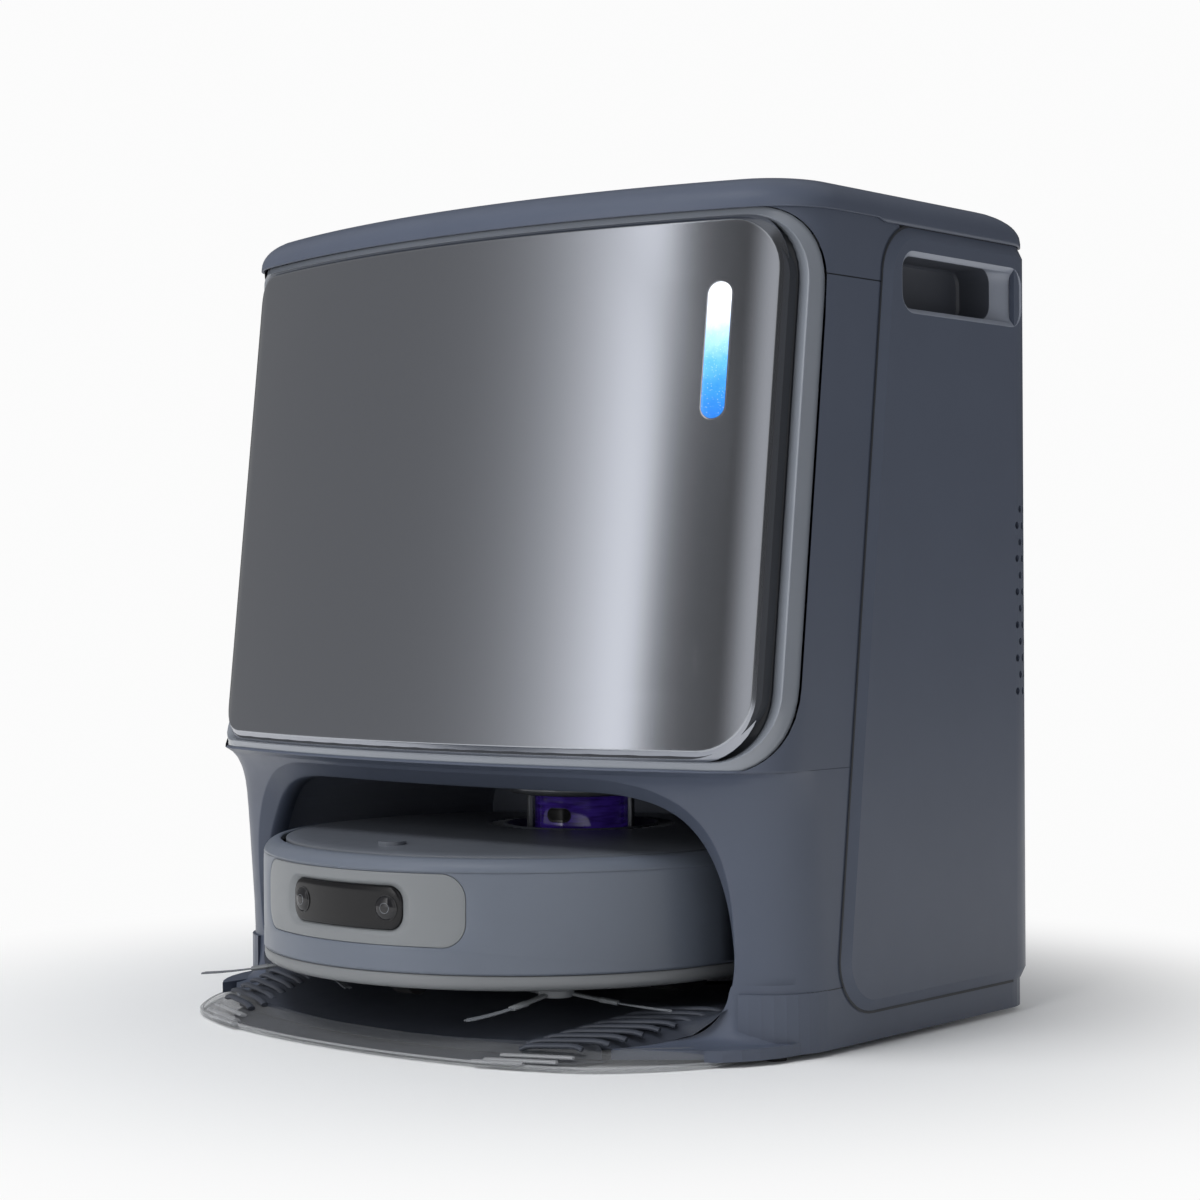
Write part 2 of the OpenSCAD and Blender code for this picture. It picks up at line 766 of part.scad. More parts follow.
module bumper() color("slategray") {
    difference() {
        union() {
            sector(rr - 3, rr, robot_z + 9.2, robot_top - 1, 180 + bumper_gap, 360 - bumper_gap);
            sector(rr - 8, rr, robot_top - 2, robot_top, 180 + bumper_gap, 360 - bumper_gap);
        }
        plate_cut(0);
    }
}

// Space of the inset plate in the bumper, shrunk by d
module plate_cut(d) {
    along_y(ry - rr - 5, ry - rr + 40) round_rect(-79 + d, 61 + d, 79 - d, 101.5 - d, 14 - d);
}

module bumper_plate() color("slategray") {
    difference() {
        intersection() {
            sector(rr - 3, rr - 0.3, 55, 105, 200, 340);
            plate_cut(0.01);
        }
        along_y(ry - rr - 5, ry - rr + 40) round_rect(-44.1, 69.2, 44.1, 93.5, 8);
    }
}

module camera_window() color([0.02, 0.02, 0.03]) {
    difference() {
        intersection() {
            sector(rr - 3, rr + 0.2, 55, 105, 200, 340);
            along_y(ry - rr - 5, ry - rr + 40) round_rect(-44, 69.3, 44, 93.4, 8);
        }
        for (s = [-1, 1])
            translate([s * lens_x, ry - rr - 5, lens_z]) rotate([-90, 0, 0]) cylinder(h = 30, r = 7.2);
    }
}

module camera_lenses() color("black") {
    for (s = [-1, 1]) translate([s * lens_x, ry - rr + 8.3, lens_z]) rotate([-90, 0, 0]) {
        cylinder(h = 1.4, r = 7.1);
        intersection() {
            sphere(4.6);
            translate([-5, -5, -5]) cube([10, 10, 6]);
        }
    }
}

module lidar_rotor() color("indigo") {
    translate([0, turret_y, robot_top - 0.6]) {
        difference() {
            cylinder(h = 20.4, r = turret_d / 2 - 4.5);
            translate([0, -turret_d / 2 + 4.5, 13]) cube([9, 12, 7], center = true);
        }
    }
}

// Fixed guard over the turret: posts and a cap
module lidar_cap() color("silver") {
    translate([0, turret_y, 0]) {
        translate([0, 0, 131.4]) cylinder(h = 1.8, r1 = cap_r - 2, r2 = cap_r);
        translate([0, 0, 133.2]) cylinder(h = 2.4, r = cap_r);
        translate([0, 0, 135.6]) cylinder(h = 1.9, r1 = cap_r, r2 = cap_r - 2.4);
        for (a = [-124, 18, 78, 148]) rotate([0, 0, a])
            translate([31.6, -2.6, pit_z]) cube([2.8, 5.2, 131.5 - pit_z]);
    }
}

module power_button() color("silver") {
    translate([0, button_y, robot_top - 4]) cylinder(h = 8.2, r = button_r);
}

// Suspension arm with the wheel's gearbox; s is the side
module wheel_arm(s) {
    x = s * wheel_x;
    translate([x, arm_y, arm_z]) rotate([0, 90, 0]) {
        cylinder(h = 30, r = 7, center = true);
        cylinder(h = 44, r = 3, center = true);
    }
    translate([x - 15, arm_y - 4, 60]) cube([30, 9, 14]);
    translate([s * 98.5 - 1.8, arm_y, 54]) cube([3.6, 56, 18]);
    translate([s * 96.7, ry, wheel_z]) rotate([0, s * 90, 0]) {
        cylinder(h = 3.6, r = 14);
        cylinder(h = 22, r = 3);
    }
}

module wheel_arm_left() color("dimgray") wheel_arm(-1);

module wheel_arm_right() color("dimgray") wheel_arm(1);

module drive_wheel(s) {
    translate([s * wheel_x, ry, wheel_z]) rotate([0, 90, 0]) difference() {
        union() {
            cylinder(h = wheel_w, r = wheel_r - 1.5, center = true);
            for (i = [0:17]) rotate([0, 0, i * 20 + 5])
                translate([wheel_r - 4, 0, 0]) cube([6, 4, wheel_w - 3], center = true);
        }
        cylinder(h = 40, r = 3.06, center = true);
        translate([0, 0, s * 8]) cylinder(h = 10, r = 22, center = true);
    }
}

module drive_wheel_left() color("black") drive_wheel(-1);

module drive_wheel_right() color("black") drive_wheel(1);

// Swivelling caster in the front
module caster_fork() color("gray") {
    translate([0, caster_y, 0]) {
        difference() {
            translate([0, 0, 55]) cylinder(h = 6.6, r = 17);
            translate([0, 0, 54]) cylinder(h = 10, r = 3.06);
        }
        for (s = [-1, 1]) translate([s * 9.5 - 1.5, 4, 33]) cube([3, 8, 24]);
        translate([0, 8, 36]) rotate([0, 90, 0]) cylinder(h = 20, r = 2, center = true, $fn = 48);
    }
}

module caster_wheel() color("black") {
    translate([0, caster_y + 8, 36]) rotate([0, 90, 0]) difference() {
        cylinder(h = 14, r = 11.2, center = true);
        cylinder(h = 20, r = 2.06, center = true, $fn = 48);
    }
}

// Three-armed side brush; turn sets how it stands at rest
module side_brush(s, turn) {
    translate([s * side_x, side_y, 0]) {
        translate([0, 0, 31]) cylinder(h = 5.2, r = 10);
        translate([0, 0, 36]) cylinder(h = 9, r = 3.9);
        // arms that dip under the main brush, with flatter bristle ends
        for (i = [0:2]) rotate([0, 0, 120 * i + turn]) {
            translate([7, -2.6, 32.6]) rotate([0, 11, 0]) cube([30, 5.2, 1.8]);
            translate([34.6, -4, 26.4]) rotate([0, 3.5, 0]) cube([31, 8, 1.6]);
        }
    }
}

module side_brush_left() color("gray") side_brush(-1, -17);

module side_brush_right() color("gray") side_brush(1, -89);

module main_brush() color("black") {
    translate([0, brush_y, brush_z]) rotate([0, 90, 0]) {
        cylinder(h = 150, r = 10, center = true);
        cylinder(h = 160, r = 3, center = true);
        for (a = [0:60:300])
            rotate([0, 0, a]) translate([brush_r - 5, 0, 0]) cube([10, 2.4, 148], center = true);
    }
}

module mop_disc(s) {
    translate([s * mop_x, mop_y, 0]) {
        translate([0, 0, 24.4]) cylinder(h = 6.6, r = mop_r);
        translate([0, 0, 31]) cylinder(h = 3, r = mop_r - 3);
        translate([0, 0, 34]) cylinder(h = 12, r = 4.6);
    }
}

module mop_disc_left() color("gainsboro") mop_disc(-1);

module mop_disc_right() color("gainsboro") mop_disc(1);

base_plinth();
base_feet();
wash_tray();
ramp_apron();
front_housing();
bay_liner();
rear_wrap();
handle_cup_left();
handle_cup_right();
exhaust_filter();
door_frame();
inner_frame();
clean_water_tank();
waste_water_tank();
tank_handles();
detergent_bottle();
dust_bag();
bag_holder();
dust_duct();
suction_motor();
water_pump();
drying_fan_housing();
drying_fan_rotor();
power_supply();
power_inlet();
charging_contacts();
indicator_board();
door_magnets();
lid_hinges();
housing_screws();
top_lid();
lid_inset();
front_door();
door_skin();
indicator_window();
robot_chassis();
robot_rear_shell();
robot_top_cover();
robot_battery();
robot_dust_bin();
robot_fan();
brush_cover();
bumper();
bumper_plate();
camera_window();
camera_lenses();
lidar_rotor();
lidar_cap();
power_button();
wheel_arm_left();
wheel_arm_right();
drive_wheel_left();
drive_wheel_right();
caster_fork();
caster_wheel();
side_brush_left();
side_brush_right();
main_brush();
mop_disc_left();
mop_disc_right();
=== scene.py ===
import bmesh
import bpy
import json
import random
from math import asin, cos, exp, hypot, pi, radians, sin, sqrt, tan
from mathutils import Matrix, Vector


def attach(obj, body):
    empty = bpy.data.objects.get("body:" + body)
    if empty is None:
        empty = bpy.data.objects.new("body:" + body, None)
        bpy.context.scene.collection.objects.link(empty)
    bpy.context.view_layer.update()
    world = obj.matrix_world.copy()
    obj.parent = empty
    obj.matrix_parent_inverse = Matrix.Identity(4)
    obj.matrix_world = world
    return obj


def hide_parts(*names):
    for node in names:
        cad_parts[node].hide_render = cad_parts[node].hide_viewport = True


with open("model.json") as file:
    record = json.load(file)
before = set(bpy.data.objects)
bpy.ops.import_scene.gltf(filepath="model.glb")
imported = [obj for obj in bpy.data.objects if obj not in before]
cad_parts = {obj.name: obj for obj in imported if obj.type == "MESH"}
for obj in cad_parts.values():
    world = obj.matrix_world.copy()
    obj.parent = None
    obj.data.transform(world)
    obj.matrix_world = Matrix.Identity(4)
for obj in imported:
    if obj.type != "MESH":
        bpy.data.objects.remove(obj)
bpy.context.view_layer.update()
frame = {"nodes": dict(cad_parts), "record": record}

# Lengths below are in millimetres, as in the CAD; S turns them into metres.
S = 0.001
LEAN = radians(6.7)
DRIFT, KL = tan(LEAN), 1 / cos(LEAN)
FRONT_R, CORNER_R, HALF_W = 620, 44.5, 224
WRAP_X, REAR_Y, REAR_R = 227.5, 190, 33.5
ROBOT_Y, ROBOT_R = -28, 161
TURRET_Y = 18.5

# ---- materials

SLOT_OF = {s["node"]: s["material_slot"] for s in frame["record"]["subparts"]}
made = {}
SIDE = {-1: "left", 1: "right"}


def nodes_of(name):
    """New material with its node tree and its main shader."""
    m = bpy.data.materials.new(name)
    m.use_nodes = True
    nt = m.node_tree
    return m, nt, nt.nodes["Principled BSDF"]


def coords(nt, scale=(1, 1, 1)):
    tc = nt.nodes.new("ShaderNodeTexCoord")
    mp = nt.nodes.new("ShaderNodeMapping")
    mp.inputs["Scale"].default_value = scale
    nt.links.new(tc.outputs["Object"], mp.inputs["Vector"])
    return mp.outputs["Vector"]


def noise(nt, vec, scale, detail=3, rough=0.55):
    n = nt.nodes.new("ShaderNodeTexNoise")
    n.inputs["Scale"].default_value = scale
    n.inputs["Detail"].default_value = detail
    n.inputs["Roughness"].default_value = rough
    nt.links.new(vec, n.inputs["Vector"])
    return n.outputs["Fac"]


def ramp(nt, fac, stops):
    r = nt.nodes.new("ShaderNodeValToRGB")
    while len(r.color_ramp.elements) < len(stops):
        r.color_ramp.elements.new(0.5)
    for e, (p, c) in zip(r.color_ramp.elements, stops):
        e.position = p
        e.color = (c[0], c[1], c[2], 1) if hasattr(c, "__len__") else (c, c, c, 1)
    nt.links.new(fac, r.inputs["Fac"])
    return r.outputs["Color"]


def span(nt, fac, lo, hi):
    r = nt.nodes.new("ShaderNodeMapRange")
    r.inputs["To Min"].default_value, r.inputs["To Max"].default_value = lo, hi
    nt.links.new(fac, r.inputs["Value"])
    return r.outputs["Result"]


def bump(nt, height, strength, distance):
    b = nt.nodes.new("ShaderNodeBump")
    b.inputs["Strength"].default_value = strength
    b.inputs["Distance"].default_value = distance
    nt.links.new(height, b.inputs["Height"])
    return b.outputs["Normal"]


def tint(c, k):
    """Colour made k times as bright."""
    return tuple(min(1, max(0, x * k)) for x in c[:3])


def moulded(name, color, rough=0.42, spread=0.06, grain=2600, depth=0.00002, strength=0.25, spec=0.5,
        **sockets):
    """Moulded or painted surface: faint mottling, fine spark-eroded grain and roughness that
    varies a little."""
    m, nt, b = nodes_of(name)
    v = coords(nt)
    big = noise(nt, v, 14, 4)
    nt.links.new(ramp(nt, big, [(0.3, tint(color, 1 - spread)), (0.7, tint(color, 1 + spread))]),
        b.inputs["Base Color"])
    nt.links.new(span(nt, noise(nt, v, 90, 3), rough - 0.05, rough + 0.05), b.inputs["Roughness"])
    nt.links.new(bump(nt, noise(nt, v, grain, 2), strength, depth), b.inputs["Normal"])
    b.inputs["Specular IOR Level"].default_value = spec
    for k, x in sockets.items():
        b.inputs[k.replace("_", " ")].default_value = x
    made[name] = m


def brushed(name, color, rough, along, aniso=0.5, spread=0.05, strength=0.12, turn=0.0):
    """Metal with a fine directional grain; along stretches the grain on that axis."""
    m, nt, b = nodes_of(name)
    v = coords(nt, along)
    g = noise(nt, v, 1.0, 4, 0.7)
    nt.links.new(ramp(nt, g, [(0.25, tint(color, 1 - spread)), (0.75, tint(color, 1 + spread))]),
        b.inputs["Base Color"])
    nt.links.new(span(nt, g, rough - 0.04, rough + 0.04), b.inputs["Roughness"])
    nt.links.new(bump(nt, g, strength, 0.00001), b.inputs["Normal"])
    b.inputs["Metallic"].default_value = 1
    b.inputs["Anisotropic"].default_value = aniso
    b.inputs["Anisotropic Rotation"].default_value = turn
    made[name] = m


def clear(name, color, rough=0.05, ior=1.46, weight=1.0, grain=60):
    """Transparent or smoked plastic."""
    m, nt, b = nodes_of(name)
    v = coords(nt)
    nt.links.new(ramp(nt, noise(nt, v, 20, 3), [(0.3, tint(color, 0.97)), (0.7, color)]),
        b.inputs["Base Color"])
    nt.links.new(span(nt, noise(nt, v, grain, 3), rough, rough + 0.05), b.inputs["Roughness"])
    b.inputs["Transmission Weight"].default_value = weight
    b.inputs["IOR"].default_value = ior
    made[name] = m


def woven(name, color, pitch=900, rough=0.9, strength=0.7):
    """Looped or felted fibre."""
    m, nt, b = nodes_of(name)
    v = coords(nt)
    vor = nt.nodes.new("ShaderNodeTexVoronoi")
    vor.inputs["Scale"].default_value = pitch
    nt.links.new(v, vor.inputs["Vector"])
    nt.links.new(ramp(nt, vor.outputs["Distance"], [(0.0, tint(color, 1.12)), (0.8, tint(color, 0.6))]),
        b.inputs["Base Color"])
    nt.links.new(bump(nt, vor.outputs["Distance"], strength, 0.0004), b.inputs["Normal"])
    b.inputs["Roughness"].default_value = rough
    b.inputs["Sheen Weight"].default_value = 0.3
    made[name] = m


moulded("slate_shell", (0.072, 0.086, 0.122), 0.38, 0.03, spec=0.45)
moulded("slate_robot", (0.115, 0.133, 0.168), 0.36, 0.03, spec=0.5)
moulded("ring_grey", (0.17, 0.178, 0.187), 0.42, 0.03)
moulded("dark_plastic", (0.022, 0.025, 0.032), 0.5, 0.08)
moulded("cover_dark", (0.1, 0.11, 0.13), 0.32, 0.05)
moulded("bay_dark", (0.17, 0.185, 0.23), 0.45, 0.06)
moulded("tray_plastic", (0.034, 0.039, 0.052), 0.42, 0.06)
moulded("rib_plastic", (0.05, 0.056, 0.072), 0.4, 0.05)
moulded("lid_dark", (0.045, 0.05, 0.06), 0.3, 0.04)
moulded("plate_grey", (0.18, 0.19, 0.2), 0.4, 0.03)
moulded("lens_dark", (0.01, 0.01, 0.012), 0.08, 0.02, 1800, 0.00001, 0.05, spec=0.6)
# hand-hold rim and sloped face: slate plastic painted lighter, as painted light
moulded("pocket_light", (0.24, 0.262, 0.315), 0.34, 0.03)
moulded("pocket_dark", (0.054, 0.06, 0.076), 0.5, 0.04)
moulded("purple_dark", (0.02, 0.012, 0.07), 0.25, 0.03)
brushed("door_steel", (0.375, 0.392, 0.435), 0.2, (3200, 3200, 30), 0.3, 0.03, 0.05, 0.25)
moulded("bright_trim", (0.21, 0.23, 0.265), 0.24, 0.03, spec=0.7, Coat_Weight=0.4)
# lighter copy of the door steel for the door's edge line and the lamp rim: a painted highlight
brushed("edge_steel", (0.42, 0.44, 0.48), 0.22, (900, 900, 900), 0.0)
moulded("clear_apron", (0.3, 0.31, 0.325), 0.12, 0.03, 1200, 0.00001, 0.1, Alpha=0.3)
moulded("apron_line", (0.42, 0.43, 0.45), 0.25, 0.03, Alpha=0.5)
moulded("black_gloss", (0.006, 0.006, 0.007), 0.12, 0.02, 1800, 0.00001, 0.05, spec=0.35)
clear("lens_glass", (0.25, 0.26, 0.3), 0.02, 1.6, 0.3)
moulded("silver_cap", (0.18, 0.19, 0.21), 0.3, 0.03, Metallic=0.6)
moulded("rubber", (0.012, 0.012, 0.013), 0.75, 0.1, 900, 0.00008)
clear("clear_tank", (0.75, 0.82, 0.88), 0.05, 1.35)
clear("smoked_tank", (0.16, 0.17, 0.2), 0.08, 1.35)
moulded("white_plastic", (0.62, 0.63, 0.64), 0.4, 0.03)
woven("bag_fleece", (0.55, 0.5, 0.42), 1400, 0.95, 0.4)
woven("filter_foam", (0.015, 0.015, 0.017), 1100, 0.95, 0.9)
moulded("motor_black", (0.02, 0.02, 0.022), 0.5, 0.1)
brushed("steel_parts", (0.5, 0.5, 0.51), 0.3, (300, 300, 300), 0.0)
brushed("contact_brass", (0.7, 0.5, 0.2), 0.25, (400, 400, 400), 0.0)
moulded("circuit_green", (0.012, 0.09, 0.035), 0.35, 0.1)
moulded("bristle_grey", (0.13, 0.14, 0.155), 0.6, 0.15, 1500, 0.00005)
woven("mop_fabric", (0.42, 0.43, 0.46), 700, 0.95, 0.9)
moulded("fan_grey", (0.16, 0.17, 0.18), 0.5, 0.05)


def lidar_material():
    """Violet tinted band with a faint painted glow: its emission only lifts the colour, as no light shows
    from inside.
    """
    m, nt, b = nodes_of("lidar_purple")
    v = coords(nt, (60, 60, 500))
    nt.links.new(ramp(nt, noise(nt, v, 1, 2), [(0.35, (0.018, 0.008, 0.09)), (0.7, (0.05, 0.025, 0.24))]),
        b.inputs["Base Color"])
    # painted glow: emission on a part that is no lamp, only brightening its colour
    nt.links.new(ramp(nt, noise(nt, v, 1, 2), [(0.35, (0.01, 0.003, 0.06)), (0.7, (0.03, 0.012, 0.17))]),
        b.inputs["Emission Color"])
    b.inputs["Emission Strength"].default_value = 0.22
    b.inputs["Roughness"].default_value = 0.12
    b.inputs["Coat Weight"].default_value = 0.8
    made["lidar_purple"] = m


def lamp_material(z0, z1):
    """Lit diffuser: white at the top, deep blue at the bottom, with small bright bubbles."""
    m, nt, b = nodes_of("lamp_window")
    tc = nt.nodes.new("ShaderNodeTexCoord")
    sep = nt.nodes.new("ShaderNodeSeparateXYZ")
    nt.links.new(tc.outputs["Object"], sep.inputs["Vector"])
    r = nt.nodes.new("ShaderNodeMapRange")
    r.inputs["From Min"].default_value, r.inputs["From Max"].default_value = z0 * S, z1 * S
    nt.links.new(sep.outputs["Z"], r.inputs["Value"])
    wobble = nt.nodes.new("ShaderNodeMath")
    wobble.operation = "MULTIPLY_ADD"
    nt.links.new(noise(nt, tc.outputs["Object"], 160, 3), wobble.inputs[0])
    wobble.inputs[1].default_value = 0.16
    nt.links.new(r.outputs["Result"], wobble.inputs[2])
    col = ramp(nt, wobble.outputs["Value"], [
        (0.05, (0.012, 0.13, 0.5)), (0.3, (0.025, 0.21, 0.66)), (0.5, (0.09, 0.36, 0.78)),
        (0.68, (0.33, 0.58, 0.86)), (0.86, (0.74, 0.8, 0.91)), (1.0, (0.86, 0.88, 0.93))])
    vor = nt.nodes.new("ShaderNodeTexVoronoi")
    vor.inputs["Scale"].default_value = 760
    nt.links.new(tc.outputs["Object"], vor.inputs["Vector"])
    dots = ramp(nt, vor.outputs["Distance"], [(0.12, 0.34), (0.24, 0.0)])
    mix = nt.nodes.new("ShaderNodeMix")
    mix.data_type = "RGBA"
    nt.links.new(dots, mix.inputs["Factor"])
    nt.links.new(col, mix.inputs["A"])
    mix.inputs["B"].default_value = (0.62, 0.82, 1.0, 1)
    nt.links.new(mix.outputs["Result"], b.inputs["Emission Color"])
    nt.links.new(mix.outputs["Result"], b.inputs["Base Color"])
    b.inputs["Emission Strength"].default_value = 0.72
    b.inputs["Roughness"].default_value = 0.25
    b.inputs["Coat Weight"].default_value = 0.5
    made["lamp_window"] = m


lidar_material()
lamp_material(349, 425)

# Nodes whose finish differs a little from their slot's main material
OWN = {"bay_liner": "bay_dark", "power_button": "cover_dark", "base_plinth": "slate_shell",
    "robot_top_cover": "cover_dark", "lid_inset": "lid_dark", "robot_chassis": "ring_grey"}
for n, o in frame["nodes"].items():
    o.data.materials.clear()
    o.data.materials.append(made[OWN.get(n, SLOT_OF[n])])

# ---- mesh helpers


def add(name, verts, faces, mat, body, slot, replaces=(), sharp=32, flip=False, solid=0.0, recalc=False,
        bevel=0.0):
    me = bpy.data.meshes.new(name)
    me.from_pydata([(x * S, y * S, z * S) for x, y, z in verts], [], [tuple(dict.fromkeys(f))
        for f in faces])
    bm = bmesh.new()
    bm.from_mesh(me)
    bmesh.ops.remove_doubles(bm, verts=bm.verts, dist=2e-6)
    bmesh.ops.dissolve_degenerate(bm, edges=bm.edges, dist=1e-6)
    if recalc:
        bmesh.ops.recalc_face_normals(bm, faces=bm.faces)
    if flip:
        bmesh.ops.reverse_faces(bm, faces=bm.faces)
    crease(bm, sharp)
    bm.to_mesh(me)
    bm.free()
    me.materials.append(made[mat])
    o = bpy.data.objects.new(name, me)
    bpy.context.scene.collection.objects.link(o)
    if solid:
        md = o.modifiers.new("wall", "SOLIDIFY")
        md.thickness, md.offset, md.use_even_offset = solid * S, -1, False
    if bevel:
        md = o.modifiers.new("edge", "BEVEL")
        md.width, md.segments, md.limit_method, md.angle_limit = bevel * S, 3, "ANGLE", radians(35)
        md.harden_normals = False
    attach(o, body)
    if replaces:
        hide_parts(*replaces)
    return o


def crease(bm, sharp):
    """Smooth shading, with edges sharper than an angle in degrees kept crisp."""
    lim = radians(sharp)
    for f in bm.faces:
        f.smooth = True
    for e in bm.edges:
        e.smooth = len(e.link_faces) != 2 or e.calc_face_angle(0) < lim


def strip(rows, closed=False):
    """Quads between rows of points; closed joins each row's end to its start."""
    n = len(rows[0])
    faces = []
    for i in range(len(rows) - 1):
        for j in range(n if closed else n - 1):
            k = (j + 1) % n
            faces.append((i * n + j, i * n + k, (i + 1) * n + k, (i + 1) * n + j))
    return [p for r in rows for p in r], faces


def capped(rows):
    """Closed rows with a cap over the last one; row point i faces point n - i."""
    v, f = strip(rows, True)
    n, b = len(rows[0]), (len(rows) - 1) * len(rows[0])
    return v, f + [(b + i, b + i + 1, b + (n - i - 1) % n, b + (n - i) % n) for i in range(n // 2)]


def lin(a, b, n):
    """n even steps from a to b, both ends included."""
    return [a + (b - a) * i / n for i in range(n + 1)]


def circle(n):
    """n angles once round, without the last, which is the first."""
    return lin(0, 2 * pi, n)[:-1]


def rrect(u0, z0, u1, z1, r, nc=8, nu=24, nz=12):
    """Rounded rectangle, the same number of points whatever its size, mirrored about its middle height."""
    r = max(r, 0.02)
    zm = (z0 + z1) / 2
    up = [(u1, zm + (z1 - r - zm) * t) for t in lin(0, 1, nz)]
    up += [(u1 - r + r * cos(a), z1 - r + r * sin(a)) for a in lin(0, pi / 2, nc)[1:]]
    up += [(u1 - r + (u0 + r - u1 + r) * t, z1) for t in lin(0, 1, nu)[1:]]
    up += [(u0 + r - r * sin(a), z1 - r + r * cos(a)) for a in lin(0, pi / 2, nc)[1:]]
    up += [(u0, z1 - r + (zm - z1 + r) * t) for t in lin(0, 1, nz)[1:]]
    return up + [(u, 2 * zm - z) for u, z in reversed(up[1:-1])]


def sided(rows, s):
    """Strip of a mirrored pair: faces turn outwards on both sides, s = -1 or 1."""
    return strip(rows if s > 0 else [r[::-1] for r in rows])


def join(parts):
    """Several meshes as one."""
    verts, faces = [], []
    for v, f in parts:
        b = len(verts)
        verts += v
        faces += [tuple(i + b for i in q) for q in f]
    return verts, faces


def lathe(profile, cx, cy, n=72):
    """Turned shape about a vertical axis; profile is (radius, height)."""
    return strip([[(cx + r * cos(a), cy + r * sin(a), z) for a in circle(n)] for r, z in profile], True)


def bar(path, half_w, half_h, taper=1.0):
    """Flat bar with rounded cross-section along a path."""
    rows = []
    up = Vector((0, 0, 1))
    n = len(path)
    for i, p in enumerate(path):
        p = Vector(p)
        d = (Vector(path[min(i + 1, n - 1)]) - Vector(path[max(i - 1, 0)])).normalized()
        side = d.cross(up).normalized()
        top = side.cross(d)
        k = 1 + (taper - 1) * i / (n - 1)
        rows.append([tuple(p + side * (half_w * k * cos(a)) + top * (half_h * k * sin(a)))
            for a in circle(10)])
    v, f = strip(rows, True)
    m = len(rows[0])
    f.append(tuple(range(m))[::-1])
    f.append(tuple((n - 1) * m + i for i in range(m)))
    return v, f


def box(x0, y0, z0, x1, y1, z1, turn=0.0):
    cx, cy = (x0 + x1) / 2, (y0 + y1) / 2
    c, s = cos(radians(turn)), sin(radians(turn))
    v = []
    for z in (z0, z1):
        for x, y in ((x0, y0), (x1, y0), (x1, y1), (x0, y1)):
            v.append((cx + (x - cx) * c - (y - cy) * s, cy + (x - cx) * s + (y - cy) * c, z))
    return v, [(3, 2, 1, 0), (4, 5, 6, 7), (0, 1, 5, 4), (1, 2, 6, 5), (2, 3, 7, 6), (3, 0, 4, 7)]


# ---- housing surface

SWING = asin((HALF_W - CORNER_R) / (FRONT_R - CORNER_R))
ARC_A = FRONT_R * SWING
ARC_B = CORNER_R * (pi / 2 - SWING)
MID_REL = FRONT_R - (FRONT_R - CORNER_R) * cos(SWING)


def plan(u, d=0.0):
    """Point of the footprint at arc length u from the apex, d inside it; y is relative to the apex."""
    s, a = (1 if u >= 0 else -1), abs(u)
    if a <= ARC_A:
        t = a / FRONT_R
        return s * (FRONT_R - d) * sin(t), FRONT_R - (FRONT_R - d) * cos(t)
    if a <= ARC_A + ARC_B:
        b = SWING + (a - ARC_A) / CORNER_R
        return s * (HALF_W - CORNER_R + (CORNER_R - d) * sin(b)), MID_REL - (CORNER_R - d) * cos(b)
    return s * (HALF_W - d), MID_REL + a - ARC_A - ARC_B


def u_of(x):
    s, a = (1 if x >= 0 else -1), abs(x)
    if a <= FRONT_R * sin(SWING):
        return s * FRONT_R * asin(a / FRONT_R)
    b = asin(min(1, (a - HALF_W + CORNER_R) / CORNER_R))
    return s * (ARC_A + CORNER_R * (b - SWING))


# Apex of the front at each height: a nearly upright lower front, a roundover, then the leaning front
SECTION = [(0, -103.4), (18, -103.6), (24, -104), (57, -105.5), (87, -107.8), (117, -110.2), (130, -111.6),
           (138, -113.2), (145, -115.8), (150.5, -119.4), (154.5, -123.8), (157.5, -129.53)]


def apex(z):
    if z >= SECTION[-1][0]:
        return -147 * KL + z * DRIFT
    for (z0, a0), (z1, a1) in zip(SECTION, SECTION[1:]):
        if z <= z1:
            return a0 + (a1 - a0) * (z - z0) / (z1 - z0)


def hull(u, z, d=0.0):
    """Point of the housing's front at arc length u and height z, d inside it."""
    x, y = plan(u, d)
    return x, apex(z) + KL * y, z


# ---- front door, its frame and the lamp


def front_rows(outline, profile):
    """Rows on the housing's front: profile is (how far inside the outline, how deep)."""
    return [[hull(u, z, e) for u, z in outline(i)] for i, e in profile]


def on_front(outline, profile, cap=True):
    rows = front_rows(outline, profile)
    return capped(rows) if cap else strip(rows, True)


def door_outline(i):
    return rrect(-216.9 + i, 169 + i, 216.9 - i, 459 - i, 29 - i, 10, 84, 6)


edge = [(-6.6, 5.0), (-6.6, 3.4), (-6.3, 3.0), (-0.5, 0.35), (-0.1, 0.08), (0.5, 0.0)]
door = on_front(door_outline,
    edge + [(i, 0.0) for i in (1, 2, 3.5, 5, 7, 9, 11, 13, 15, 17, 19, 21, 23, 26, 29, 34)])
add("door_panel", *door, "door_steel", "door", "door_steel", ["door_skin"], sharp=25)

# Edge line where the face turns into its chamfer, in a lighter steel that paints a highlight there
rows = front_rows(door_outline, ((-0.75, 0.52), (-0.35, 0.12), (0.15, -0.04), (0.55, -0.04), (0.6, 0.1)))
add("door_edge", *strip(rows, True), "edge_steel", "door", "door_steel")


def frame_outline(i):
    """Opening of the frame; i moves out from it towards the frame's own edge."""
    k = i / 12.0
    return rrect(-234.4 - 13.2 * k, 162.6 - 6.0 * k, 234.4 + 13.2 * k, 461.4 + 4.1 * k, 38 + 8 * k, 10, 84,
        6)


profile = [(-2.4, 9.0), (-1.4, 5.0), (-0.6, 2.4), (-0.2, 0.9), (0.3, 0.35), (1.0, 0.5), (4.0, 1.1),
    (8.0, 1.5), (11.0, 1.6), (11.9, 1.9), (12.0, 4.0)]
add("door_frame_trim", *on_front(frame_outline, profile, False), "bright_trim", "station", "bright_trim",
    ["door_frame"], sharp=50, flip=True)

